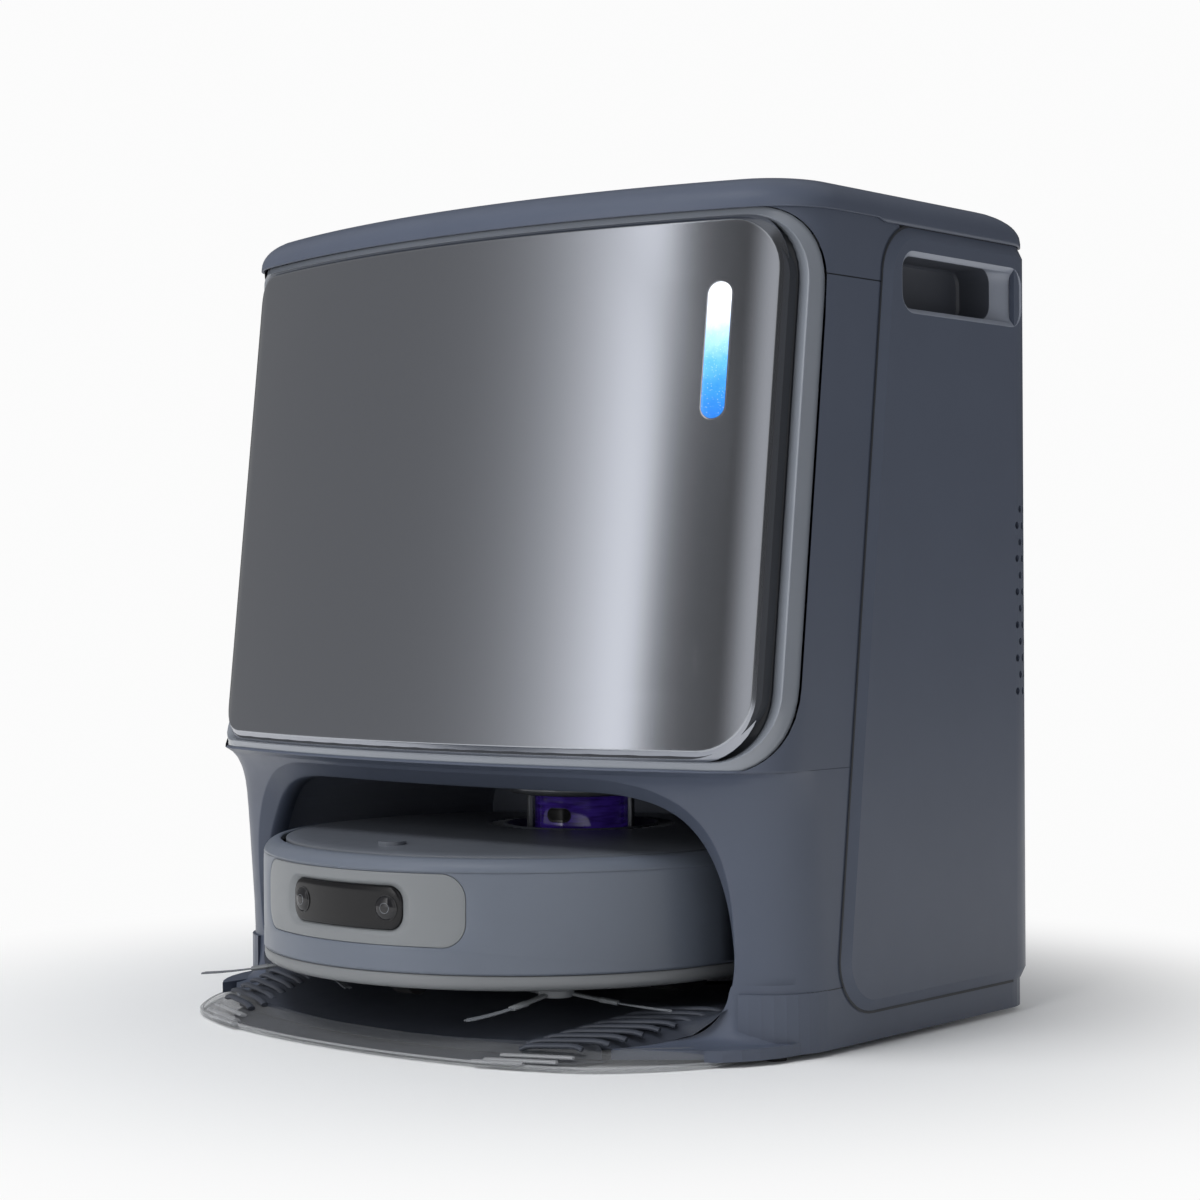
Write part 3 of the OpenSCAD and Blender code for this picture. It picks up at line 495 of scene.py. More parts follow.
# Dark channel between the door and its frame
rows = [[hull(u, z, e) for u, z in o]
    for o, e in ((frame_outline(-1.0), 6.0), (frame_outline(-2.6), 8.2), (door_outline(-7.4), 9.4),
        (door_outline(2), 9.6))]
add("door_channel", *strip(rows, True), "dark_plastic", "station", "dark_plastic", flip=True)


def lamp_outline(i):
    u = u_of(181.7)
    return rrect(u - 7.3 + i, 349 + i, u + 7.3 - i, 425 - i, 7.25 - i, 10, 2, 20)


add("lamp_glow",
    *on_front(lamp_outline,
        [(0.0, 1.0), (0.0, -0.05), (0.35, -0.3), (0.9, -0.38), (2.5, -0.4), (5, -0.4), (7, -0.4)]),
    "lamp_window", "door", "lamp_window", ["indicator_window"])
# rim round the lamp in the same lighter steel: a painted highlight
rows = front_rows(lamp_outline, ((-0.55, 0.1), (-0.45, -0.3), (0.05, -0.42), (0.35, -0.42), (0.4, 0.1)))
add("lamp_rim", *strip(rows, True), "edge_steel", "door", "door_steel")

# ---- lower front with the arch

# The arch of the bay is two superellipse quarters, above and below its widest height, under a flat top.
ARCH_FOOT, ARCH_WIDE, ARCH_TOP, ARCH_HALF_W = 13.5, 60.0, 151.8, 191.5
UPPER_X, UPPER_POWER_X, UPPER_POWER_Z = 92.0, 3.2, 3.0
LOWER_X, LOWER_REACH, LOWER_POWER = 140.0, 56.0, 2.4


def jamb_x(z):
    """Half width of the arch at a height below its widest one."""
    k = (1 - ((ARCH_WIDE - z) / LOWER_REACH) ** LOWER_POWER) ** (1 / LOWER_POWER)
    return LOWER_X + (ARCH_HALF_W - LOWER_X) * k


def arch_half():
    """Right half of the arch as (x, z), from its foot to the middle of its top."""
    pts = [(jamb_x(z), z) for z in lin(ARCH_FOOT, ARCH_WIDE, 12)]
    for a in lin(0, pi / 2, 30)[1:]:
        x = UPPER_X + (ARCH_HALF_W - UPPER_X) * abs(cos(a)) ** (2 / UPPER_POWER_X)
        pts.append((x, ARCH_WIDE + (ARCH_TOP - ARCH_WIDE) * sin(a) ** (2 / UPPER_POWER_Z)))
    return pts + [(UPPER_X * k, ARCH_TOP) for k in (0.75, 0.5, 0.25, 0.0)]


def smooth_path(pts, n):
    """Catmull-Rom through the points, resampled to n + 1 even steps."""
    ext = [pts[0]] + list(pts) + [pts[-1]]
    fine = []
    for i in range(1, len(ext) - 2):
        p0, p1, p2, p3 = ext[i - 1:i + 3]
        for t in lin(0, 1, 12)[:-1]:
            fine.append(tuple(0.5 * (2 * b + (c - a) * t + (2 * a - 5 * b + 4 * c - d) * t * t
                + (3 * b - a - 3 * c + d) * t ** 3)
                              for a, b, c, d in zip(p0, p1, p2, p3)))
    fine.append(tuple(pts[-1]))
    run = [0.0]
    for a, b in zip(fine, fine[1:]):
        run.append(run[-1] + sqrt(sum((x - y) ** 2 for x, y in zip(a, b))))
    out, k = [], 0
    for s in lin(0, run[-1], n):
        while k < len(run) - 2 and run[k + 1] < s:
            k += 1
        t = (s - run[k]) / max(1e-9, run[k + 1] - run[k])
        out.append(tuple(a + (b - a) * t for a, b in zip(fine[k], fine[k + 1])))
    return out


half = smooth_path(arch_half(), 64)
arch_x = half + [(-x, z) for x, z in reversed(half[:-1])]
arch = [(u_of(x), z) for x, z in arch_x]
N_ARCH = len(arch)


def arch_in(i):
    """Arch outline moved i outwards, away from the opening."""
    out = []
    for k, (x, z) in enumerate(arch):
        a, b = arch[max(0, k - 1)], arch[min(N_ARCH - 1, k + 1)]
        dx, dz = b[0] - a[0], b[1] - a[1]
        l = hypot(dx, dz)
        out.append((x + i * dz / l, z - i * dx / l))
    return out


def outer_edge():
    """Where each point of the arch outline is led to: the sides above the flared foot, and the
    lower edge of the door frame."""
    out = []
    top, turn, side_u, low = 157.4, 30, 312, 40.4
    start = arch_in(3.0)
    first = next(k for k in range(turn) if start[k][1] > low)
    for k in range(N_ARCH // 2 + 1):
        if k < first:
            out.append((start[k][0] + 0.05, start[k][1]))
        elif k <= turn:
            t = (k - first) / (turn - first)
            out.append((side_u, low + (top - low) * t))
        else:
            t = (k - turn) / (N_ARCH // 2 - turn)
            out.append((side_u * (1 - t), top))
    return out + [(-u, z) for u, z in reversed(out[:-1])]


rim = outer_edge()


def lip_width(z):
    """Width of the chamfer inside the arch's edge: nothing on the upright jambs, full over the top."""
    k = min(1.0, max(0.0, (z - 52) / 80))
    return 0.4 + 8.2 * k * k * (3 - 2 * k)


def lip_row(part, e, deep):
    """Arch outline moved into the opening by part of the chamfer's width; deep scales the depth
    with the width."""
    row = []
    for (x, z), (x0, z0) in zip(arch_in(-1.0), arch):
        w = lip_width(z0)
        row.append(hull(x0 + (x - x0) * w * part, z0 + (z - z0) * w * part, e + deep * w))
    return row


rows = [lip_row(1.0, 12.0, 0.75), lip_row(1.0, 2.4, 0.75), lip_row(0.97, 1.2, 0.72),
    lip_row(0.9, 0.9, 0.66), lip_row(0.1, 0.75, 0.07), lip_row(0.0, 0.4, 0.0)]
rows += front_rows(arch_in, ((0.35, 0.12), (0.9, 0.03), (1.8, 0.0), (3.0, 0.0)))
start = arch_in(3.0)
for t in lin(0, 1, 30)[1:]:
    k = t ** 1.15
    rows.append([hull(a[0] + (b[0] - a[0]) * k, a[1] + (b[1] - a[1]) * k) for a, b in zip(start, rim)])
lower = strip(rows)

FRAME_LOW, FRAME_HIGH, FRAME_R, FRAME_U = 156.6, 465.5, 46.0, 247.6
ROOF_FOOT = 465.2


def frame_u(z):
    """Arc length of the frame's outer edge at height z."""
    k = max(0.0, FRAME_LOW + FRAME_R - z, z - FRAME_HIGH + FRAME_R)
    return FRAME_U - FRAME_R + sqrt(max(0.0, FRAME_R ** 2 - k * k)) - 0.3


def beside_frame(zs, u1, d=0.0):
    """Housing surface between the frame and arc length u1, on both sides."""
    parts = []
    for s in (-1, 1):
        rows = [[hull(s * u, z, d) for u in lin(frame_u(z), u1, 18)] for z in zs]
        parts.append(sided(rows, s))
    return join(parts)


corner_low = [157.2, 157.6, 158.4, 159.6, 161.4, 164, 167.5, 172, 178, 186, 195, 203]
corner_high = [433, 437, 441, 446, 450, 454, 457, 459.6, 461.6, 463, 464, 464.7, ROOF_FOOT]
add("housing_front", *lower, "slate_shell", "station", "slate_shell", ["front_housing"], solid=1.6,
    sharp=60, flip=True)
add("housing_sides", *beside_frame(corner_low + lin(212, 429, 9), 312), "slate_shell", "station",
    "slate_shell", sharp=60)
add("lid_skirts", *beside_frame([429.7] + corner_high, 312), "slate_shell", "lid", "slate_shell", sharp=60)
add("lid_seam_line", *beside_frame([428.2, 430.4], 312, 0.8), "dark_plastic", "station", "dark_plastic")

# Seam between the base and the housing
for s in (-1, 1):
    us = lin(u_of(187.6), 310, 40)
    rows = [[hull(s * u, z, e) for u in us]
        for z, e in ((35.6, 0.05), (35.75, -0.06), (36.25, -0.06), (36.4, 0.05))]
    add("base_seam_" + SIDE[s], *sided(rows, s), "dark_plastic", "station", "slate_shell")

# ---- flared foot of each jamb, and the tray

LIP = [(150, -128.5, 8.9), (159, -113.5, 9.6), (166, -99.5, 11.0)]
LIP_TOP = 40.8
LIP += [(jamb_x(z), hull(u_of(jamb_x(z)), z)[1] - k, z)
    for z, k in ((ARCH_FOOT, 7.0), (20.0, 1.8), (29.6, 0.3), (LIP_TOP, 0.0))]
FOOT = [(150, -130, 8.6), (160, -122, 8.5), (170, -114, 8.5), (179, -107, 8.4), (189, -98.5, 8.4),
    (198, -90, 8.4), (206, -79, 8.4),
        (213, -66, 8.4), (218, -52, 8.4), (221.5, -38, 8.4), (223.5, -24, 8.4), (223.9, -8, 8.4),
        (223.9, 10, 8.4)]


def flare(s):
    """Concave foot from the arch's lip and the corner down to the base's edge."""
    round_corner = [hull(u, 41) for u in lin(u_of(jamb_x(LIP_TOP)), 292, 14)[1:]]
    rows, upper, lower_edge = [], smooth_path(LIP + round_corner, 60), smooth_path(FOOT, 60)
    for t in lin(0, 1, 18):
        row = []
        for p, q in zip(upper, lower_edge):
            p, q = Vector(p), Vector(q)
            drop = p.z - q.z
            c1 = p + Vector((0, 0, -0.78 * drop))
            c2 = q + (p - q) * 0.62
            c2.z = q.z + 0.06 * drop
            w = p * (1 - t) ** 3 + c1 * (3 * t * (1 - t) ** 2) + c2 * (3 * t * t * (1 - t)) + q * t ** 3
            row.append((s * w.x, w.y, w.z))
        rows.append(row)
    rows.append([(s * x, y, 3.2) for x, y, z in lower_edge])
    return sided(rows, s)


for s in (-1, 1):
    add("base_flare_" + SIDE[s], *flare(s), "slate_shell", "station", "slate_shell", sharp=50, flip=True)
    rows = [[(s * 223.9, y, z) for y in lin(9.5, 158, 10)] for z in (3.2, 8.4, 24.0)]
    add("base_side_" + SIDE[s], *sided(rows, s), "slate_shell", "station", "slate_shell")


def tray_side(y):
    """Half width of the tray's top at y, and its height there."""
    pts = [(-134, 146, 8.5), (-128.5, 150, 8.9), (-113.5, 159, 9.6), (-99.5, 166, 11.0), (-88, 173, 13.4),
        (-82, 180.6, 20.0),
           (-78, 186.5, 26.5), (-66, 190.6, 30.0), (200, 190.6, 30.0)]
    if y <= pts[0][0]:
        return pts[0][1:]
    for (y0, x0, z0), (y1, x1, z1) in zip(pts, pts[1:]):
        if y <= y1:
            t = (y - y0) / (y1 - y0)
            return x0 + (x1 - x0) * t, z0 + (z1 - z0) * t
    return pts[-1][1:]


def tray_height(y):
    return min(23.0, 8.6 + 14.4 * max(0.0, min(1.0, (y + 160.5) / 98.5)) ** 0.92)


def basin(x, y):
    """Depth of the wash basins under the mop discs."""
    d = min(hypot(x - 62, y - 52) - 58.5, hypot(x + 62, y - 52) - 58.5,
        max(abs(x) - 62, abs(y - 52) - 29.5))
    return 7.8 * min(1.0, max(0.0, 0.5 - d / 2.4))


def tray_rows():
    rows, nx = [], 110
    front = [(-160.4 + 27 * (abs(x) / 146) ** 2.15) for x in lin(-146, 146, nx)]
    for v in lin(0, 1, 118):
        row = []
        for i, w in enumerate(lin(-1, 1, nx)):
            y = front[i] + (132 - front[i]) * v
            half_w, z_side = tray_side(y)
            x, z = w * half_w, tray_height(y)
            gap = half_w - abs(x)
            if gap < 26 and y > -134:
                z += (z_side - z) * (1 - gap / 26) ** 2.2
            row.append((x, y, z - basin(x, y)))
        rows.append(row)
    return [[(x, y - 0.05, 3.2) for x, y, z in rows[0]]] + rows


add("tray_surface", *strip(tray_rows()), "tray_plastic", "station", "tray_plastic", ["wash_tray"], sharp=60)
ribs = []
for s in (-1, 1):
    for i in range(9):
        y = -68 - 10.4 * i
        cx, c, sn = s * (150 - 3.0 * i), cos(radians(s * 19)), sin(radians(s * 19))
        length = 24 if i < 8 else 18
        path = [(cx + t * c, y + t * sn, tray_height(y + t * sn) + 0.7 - 1.8 * (abs(t) / length) ** 6)
            for t in lin(-length, length, 10)]
        ribs.append(bar(path, 2.4, 1.5))
add("tray_ribs", *join(ribs), "rib_plastic", "station", "tray_plastic", recalc=True)
studs = [lathe([(0.01, 19.4), (1.6, 19.2), (2.7, 18.2), (3.0, 14.8)], sx * 62 + 34 * cos(radians(a)),
    52 + 34 * sin(radians(a)), 14)
         for sx in (-1, 1) for a in range(0, 360, 45)]
add("basin_studs", *join(studs), "rib_plastic", "station", "tray_plastic", recalc=True)

# ---- clear apron in front of the tray

OUTER = [(0, -189.3), (40, -187.6), (78, -182.6), (112, -175.3), (140, -165.6), (162, -151.6), (180, -131),
    (195, -107.5), (202, -86),
         (208, -63), (212.5, -42), (213.4, -18), (213.4, 4.8)]
INNER = [(0, -160.0), (34, -158.4), (66, -154.6), (96, -147.6), (121, -138.4), (137, -131.5), (152, -125),
    (166, -112), (178, -98),
         (186, -80), (190, -60), (192, -40), (194, 4.8)]


def apron_row(k, z, out=0.0):
    """Row across the apron: k runs from its outer edge (0) to the tray (1)."""
    half = [(a[0] + (b[0] - a[0]) * k, a[1] + (b[1] - a[1]) * k)
        for a, b in zip(smooth_path(OUTER, 60), smooth_path(INNER, 60))]
    half = [(x * (1 + out / 200), y * (1 + out / 200), z(x, y) if callable(z) else z) for x, y in half]
    return [(-x, y, h) for x, y, h in reversed(half[1:])] + half


top = [(0.0, 0.4), (0.0, 2.4), (0.008, 3.0), (0.03, 3.3), (0.08, 3.35), (0.1, 3.2), (0.12, 3.35),
    (0.3, 4.4), (0.5, 5.9), (0.7, 7.3), (0.86, 8.3), (0.99, 8.8)]
rows = [apron_row(k, z) for k, z in top] + [apron_row(0.99, 0.4)]
add("apron_slab", *strip(rows + [rows[0]]), "clear_apron", "station", "clear_apron", ["ramp_apron"],
    sharp=35)
add("apron_edge",
    *strip([apron_row(0.0, z, o)
        for z, o in ((2.2, 0.02), (2.9, 0.05), (3.35, -0.6), (3.4, -1.6), (3.2, -2.2))]),
    "apron_line", "station", "clear_apron", sharp=80)

UNDER = [(0, -184.5), (40, -182.6), (76, -177.0), (104, -168.5), (124, -157.0), (138, -143.0),
    (146, -128.0)]
half = smooth_path(UNDER, 40)
edge_line = [(-x, y) for x, y in reversed(half[1:])] + half
rows = [[(x, y, 1.2) for x, y in edge_line], [(x, y, 2.4) for x, y in edge_line], [(x, -118.0, 2.6)
    for x, y in edge_line]]
add("tray_foot", *strip(rows), "tray_plastic", "station", "tray_plastic", sharp=60)
ribs = []
for s in (-1, 1):
    for cx, cy, z in ((124, -160.5, 6.4), (120, -169.5, 4.9), (110, -176.5, 3.9)):
        c, sn, length = cos(radians(s * 19)), sin(radians(s * 19)), 21 if cy > -170 else 15
        ribs.append(bar([(s * cx + t * c, cy + t * sn, z + 0.02 * t * s)
            for t in lin(-length, length, 8)], 2.3, 1.1))
add("apron_ribs", *join(ribs), "apron_line", "station", "clear_apron", recalc=True)

# ---- roof with its inset

CROWN_H = 19.8


def roof_outline(back, n=24):
    """Right half of the roof's outline, back inside its foot, as (x, y) from the rear middle to
    the front."""
    w, cr = HALF_W - back, max(24.0, CORNER_R - back * 0.45)
    swing = asin((w - cr) / (FRONT_R - cr))
    front = apex(ROOF_FOOT) + back
    corner_y = front + KL * (FRONT_R - (FRONT_R - cr) * cos(swing))
    rear, rr = 187.0 - back, 30.0
    pts = [(x, rear) for x in lin(0, w - rr, n)]
    pts += [(w - rr + rr * sin(a), rear - rr + rr * cos(a)) for a in lin(0, pi / 2, 12)[1:]]
    pts += [(w, y) for y in lin(rear - rr, corner_y, n)[1:]]
    pts += [(w - cr + cr * sin(a), corner_y - KL * cr * cos(a)) for a in lin(pi / 2, swing, 14)[1:]]
    return pts + [(FRONT_R * sin(a), front + KL * (FRONT_R - FRONT_R * cos(a)))
        for a in lin(swing, 0, 40)[1:]]


def roof_height(back):
    """Height above the roof's foot: a rounded edge that runs into a shallow crown."""
    edge_h, a = 15.4, min(1.0, back / 24.0)
    rise = edge_h * (1 - (1 - a) ** 2.35) ** (1 / 2.1)
    return rise + (CROWN_H - edge_h) * sin(min(1.0, back / 120.0) * pi / 2) * min(1.0, back / 12.0)


def roof_row(back, drop=0.0):
    half = [(x, y, ROOF_FOOT + roof_height(back) - drop) for x, y in roof_outline(back)]
    return half + [(-x, y, z) for x, y, z in reversed(half[1:-1])]


SKIRT_Z, HINGE_SKIRT_Z = 463.0, 464.6


def skirt_z(y):
    """Lower edge of the lid: level with the wrap's top, and raised at the rear, where it swings
    past the wrap."""
    return HINGE_SKIRT_Z if y > 180 else SKIRT_Z if y > 20 else ROOF_FOOT - 0.2


rows = [[(x, y, skirt_z(y)) for x, y, z in roof_row(0)]]
rows += [roof_row(b)
    for b in (0, 0.4, 1, 1.8, 3, 4.5, 6.5, 9, 12, 15, 18, 21, 24, 28, 32, 36, 40, 43.4)] + [roof_row(44.1,
        0.4), roof_row(44.2, 2.2)]
add("lid_shell", *strip(rows, True), "slate_shell", "lid", "slate_shell", ["top_lid"], sharp=50, solid=2.2)
rows = [roof_row(44.9, 2.2), roof_row(44.9, 0.5)] + [roof_row(b)
    for b in (45.1, 45.6, 47, 52, 60, 70, 85, 100)]
add("lid_inlay", *capped(rows), "lid_dark", "lid", "tray_plastic", ["lid_inset"], sharp=50)

# ---- rear wrap with its border, hand-holds and vents

WRAP_LOW, WRAP_HIGH, WRAP_T = 19.5, 463.0, 3.4
SIDE_END = 156.5


def wrap_border(i):
    """Front border of the side panel as (y, z), i inside its edge, from the lower rear round to
    the upper rear."""
    z0, z1, r = WRAP_LOW + i, WRAP_HIGH - i, 31 - i

    def front(z):
        return -28.5 + 0.1165 * z + i

    c0, c1 = (front(z0 + r) + r, z0 + r), (front(z1 - r) + r, z1 - r)
    pts = [(y, z0) for y in lin(SIDE_END, 130, 4)]
    pts += [(c0[0] - r * sin(a), c0[1] - r * cos(a)) for a in lin(0, pi / 2, 12)]
    pts += [(front(z), z) for z in lin(z0 + r, z1 - r, 24)[1:-1]]
    pts += [(c1[0] - r * cos(a), c1[1] + r * sin(a)) for a in lin(0, pi / 2, 12)]
    return pts + [(y, z1) for y in lin(130, SIDE_END, 4)]


def pocket_outline(i, y1=164.0):
    return rrect(38 - i, 414 - i, y1 + i, 448 + i, max(3.0, 11 + i), 8, 10, 3)


SEAM_W, SEAM_DEPTH = 1.1, 2.85


def side_slab(s):
    """Closed slab of one side: chamfered border, flat face, ends and inner face."""
    edge = ((0, WRAP_X - WRAP_T), (0, WRAP_X - 3.3), (0.4, WRAP_X - 3.0), (6.4, WRAP_X - 0.25),
        (6.9, WRAP_X))
    rows = [[(s * d, y, z) for y, z in wrap_border(i)] for i, d in edge]
    v, f = strip(rows)
    n, m = len(rows[0]), len(rows)
    f.append(tuple(range((m - 1) * n, m * n)))
    f.append(tuple(range(n))[::-1])
    f.append(tuple(k * n for k in range(m)) + tuple(k * n + n - 1 for k in reversed(range(m))))
    return v, f


def back_slab():
    """Closed slab of the back and both rear corners."""
    cx = WRAP_X - REAR_R

    def path(off):
        r = REAR_R - off
        corner = [(cx + r * cos(a), REAR_Y - REAR_R + r * sin(a)) for a in lin(0, pi / 2, 16)]
        return corner + [(x, REAR_Y - off) for x in lin(cx, -cx, 10)[1:-1]] + [(-x, y)
            for x, y in reversed(corner)]

    edge = ((19.5, WRAP_T), (19.5, 3.3), (19.9, 3.0), (25.9, 0.25), (26.4, 0.0), (456.1, 0.0),
        (456.6, 0.25), (462.6, 3.0), (463, 3.3), (463, WRAP_T))
    rows = [[(x, y, z) for x, y in path(off)] for z, off in edge]
    v, f = strip(rows + [rows[0]])
    n, m = len(rows[0]), len(rows)
    return v, f + [tuple(k * n for k in range(m)), tuple(k * n + n - 1 for k in reversed(range(m)))]


def hole_tool(parts):
    v, f = join(parts)
    me = bpy.data.meshes.new("hole_tool")
    me.from_pydata([(x * S, y * S, z * S) for x, y, z in v], [], f)
    bm = bmesh.new()
    bm.from_mesh(me)
    bmesh.ops.recalc_face_normals(bm, faces=bm.faces)
    bm.to_mesh(me)
    bm.free()
    o = bpy.data.objects.new("hole_tool", me)
    bpy.context.scene.collection.objects.link(o)
    return o


def cut(o, tool, sharp):
    """Take the tool's solids out of o for good."""
    md = o.modifiers.new("cut", "BOOLEAN")
    md.operation, md.solver, md.object = "DIFFERENCE", "EXACT", tool
    bpy.context.view_layer.update()
    me = bpy.data.meshes.new_from_object(o.evaluated_get(bpy.context.evaluated_depsgraph_get()))
    o.modifiers.clear()
    o.data = me
    bpy.data.objects.remove(tool)
    bm = bmesh.new()
    bm.from_mesh(me)
    crease(bm, sharp)
    bm.to_mesh(me)
    bm.free()


def prism(ring0, ring1):
    n = len(ring0)
    f = [(i, (i + 1) % n, n + (i + 1) % n, n + i) for i in range(n)]
    return ring0 + ring1, f + [tuple(range(n))[::-1], tuple(range(n, 2 * n))]


for s in (-1, 1):
    side = SIDE[s]
    o = add("wrap_side_" + side, *side_slab(s), "slate_shell", "station", "slate_shell", recalc=True)
    hole = [(y, z) for y, z in pocket_outline(0.9)]
    cut(o, hole_tool([prism([(s * 200, y, z) for y, z in hole], [(s * 240, y, z) for y, z in hole])]), 10)
    # bevelled rim, sloped rear face and deep cup of the hand-hold; the rim and sloped face are slate
    # plastic painted lighter, as painted light
    rim_rows = [(1.0, 164.0, 1.5), (1.0, 164.0, 0.05), (0.7, 164.0, 0.0), (-1.8, 164.0, 2.0),
        (-2.0, 164.0, 2.3)]
    rows = [[(s * (WRAP_X - e), y, z) for y, z in pocket_outline(i, y1)] for i, y1, e in rim_rows]
    slope = [[(s * (WRAP_X - e), y, z) for y, z in pocket_outline(-2.0, y1)]
        for y1, e in ((162.0, 3.0), (136.6, 12.6), (135.6, 13.4))]
    seam = [[(s * (WRAP_X - SEAM_DEPTH), y, z) for y, z in wrap_border(i)] for i in (-SEAM_W, 0.5)]
    add("wrap_seam_" + side, *strip(seam), "dark_plastic", "station", "dark_plastic", recalc=True)
    add("pocket_rim_" + side, *strip(rows + slope, True), "pocket_light", "station", "slate_shell",
        recalc=True, sharp=30)
    deep = [[(s * (WRAP_X - e), y, z) for y, z in pocket_outline(-2.0 - k, 135.6)]
        for k, e in ((0.0, 3.2), (0.1, 24.0), (1.4, 25.6), (4.0, 26.2))]
    add("pocket_cup_" + side, *capped(deep), "pocket_dark", "station", "dark_plastic",
        ["handle_cup_" + side], recalc=True, sharp=30)

back = add("wrap_back", *back_slab(), "slate_shell", "station", "slate_shell", ["rear_wrap"], recalc=True)
holes = []
for s in (-1, 1):
    for row in range(12):
        for k in range(6):
            a = radians(4 + 14 * k + (row % 2) * 7)
            centre = Vector((s * (WRAP_X - REAR_R), REAR_Y - REAR_R, 194 + row * 10))
            d = Vector((s * cos(a), sin(a), 0))
            across = d.cross(Vector((0, 0, 1)))
            ring0 = [centre + d * 24 + across * (2.3 * cos(t)) + Vector((0, 0, 2.3 * sin(t)))
                for t in circle(10)]
            holes.append(prism([tuple(p) for p in ring0], [tuple(p + d * 20) for p in ring0]))
holes.append(prism(*[[(x, y, z) for x, z in rrect(-175, 52, -145, 78, 3, 4, 2, 2)] for y in (180, 200)]))
cut(back, hole_tool(holes), 10)

# ---- robot: bumper with its plate and camera window

RIM_Z, RIM_R, TOP_Z = 100.5, 9.5, 109.5
WALL_LOW, WALL_Z = 46.5, 102.2
BUMPER_U = radians(88.9) * ROBOT_R


def ring_point(u, r, z):
    return r * sin(u / ROBOT_R), ROBOT_Y - r * cos(u / ROBOT_R), z


def skin(u, z, e=0.0):
    """Point of the robot's wall at arc length u from its nose, e inside it, with the rounded upper rim."""
    k = min(1.0, max(0.0, (z - RIM_Z) / (TOP_Z - RIM_Z)))
    return ring_point(u, ROBOT_R - e - RIM_R * (1 - sqrt(1 - k * k)), z)


def rim_rows(us):
    a0 = asin((WALL_Z - RIM_Z) / (TOP_Z - RIM_Z))
    rows = [[skin(u, RIM_Z + (TOP_Z - RIM_Z) * sin(a)) for u in us] for a in lin(a0, pi / 2, 10)]
    return rows + [[ring_point(u, r, z) for u in us]
        for r, z in ((150.9, 109.4), (150.5, 109.0), (150.4, 106.0))]


def blend(outer, inner, steps, e=0.0):
    return [[skin(a[0] + (b[0] - a[0]) * t, a[1] + (b[1] - a[1]) * t, e) for a, b in zip(outer, inner)]
        for t in lin(0, 1, steps)]


def on_skin(outline, profile):
    return [[skin(u, z, e) for u, z in outline(i)] for i, e in profile]


def plate_outline(i):
    return rrect(-82.6 + i, 61 + i, 82.6 - i, 101.5 - i, 14 - i, 10, 84, 8)


def recess_outline(i):
    return rrect(-49.8 + i, 66.3 + i, 49.8 - i, 96.5 - i, 12 - i * 0.6, 10, 84, 8)


def window_outline(i):
    return rrect(-43.9 + i, 69.4 + i, 43.9 - i, 93.3 - i, 8.5 - i, 10, 84, 8)


wall_outline = rrect(-BUMPER_U, WALL_LOW, BUMPER_U, WALL_Z, 0.1, 10, 84, 8)
rows = [[skin(u, z, 0) for u, z in wall_outline]] + blend(wall_outline, plate_outline(-0.5), 10)[1:]
rows += on_skin(plate_outline, [(-0.22, 0.12), (-0.2, 1.2), (0.3, 1.2)])
wall = strip(rows, True)
add("bumper_shell", *join([wall, strip(rim_rows(lin(-BUMPER_U, BUMPER_U, 170)))]), "slate_robot",
    "robot_bumper", "slate_robot", ["bumper"],
    sharp=40, solid=1.2)
rows = on_skin(plate_outline, [(0.22, 1.2), (0.2, 0.12), (0.5, 0.0)]) + blend(plate_outline(0.5),
    recess_outline(0), 8)[1:]
rows += on_skin(recess_outline, [(0.6, 0.12), (1.2, 0.45)])
rows += [[skin(u, z, 2.3) for u, z in window_outline(-0.9)], [skin(u, z, 2.6)
    for u, z in window_outline(-0.45)], [skin(u, z, 3.4) for u, z in window_outline(-0.4)]]
add("plate_face", *strip(rows, True), "plate_grey", "robot_bumper", "slate_robot", ["bumper_plate"],
    sharp=40)
rows = on_skin(window_outline,
    [(-0.3, 3.4), (-0.3, 2.4), (-0.1, 1.7), (0.5, 1.25), (1.3, 1.1), (4, 1.05), (8, 1.05), (11.5, 1.05)])
add("window_face", *capped(rows), "black_gloss", "robot_bumper", "black_gloss", ["camera_window"], sharp=50)


def knob(u, z, base, profile, n=40):
    """Turned shape on the robot's wall, its axis square to the wall; profile is (radius, height
    above base)."""
    out = Vector((sin(u / ROBOT_R), -cos(u / ROBOT_R), 0))
    side = Vector((cos(u / ROBOT_R), sin(u / ROBOT_R), 0))
    centre = Vector(skin(u, z, base))
    return strip([[tuple(centre + out * h + side * (r * cos(a)) + Vector((0, 0, r * sin(a))))
        for a in lin(0, 2 * pi, n)[:-1]]
                  for r, h in profile], True)


dome = [(7.4, -0.4), (7.4, 0.25), (7.2, 0.45), (6.9, 0.45), (6.7, 0.2), (6.5, 0.3)]
dome += [(6.4 * cos(a), 0.3 + 1.7 * sin(a)) for a in lin(0.1, pi / 2 - 0.02, 8)]
add("lens_domes", *join([knob(s * 34, 81.4, 1.05, dome) for s in (-1, 1)]), "lens_dark", "robot_bumper",
    "lens_glass", ["camera_lenses"],
    recalc=True, sharp=40)
iris = [(3.3, 2.02 - 0.5), (3.1, 2.02 - 0.25), (2.7, 2.02 - 0.13), (2.6, 2.02 - 0.4)]
add("lens_iris", *join([knob(s * 34, 81.4, 1.05, iris) for s in (-1, 1)]), "silver_cap", "robot_bumper",
    "lens_glass", recalc=True, sharp=40)

# ---- robot: rear shell, chassis ring, top cover and turret

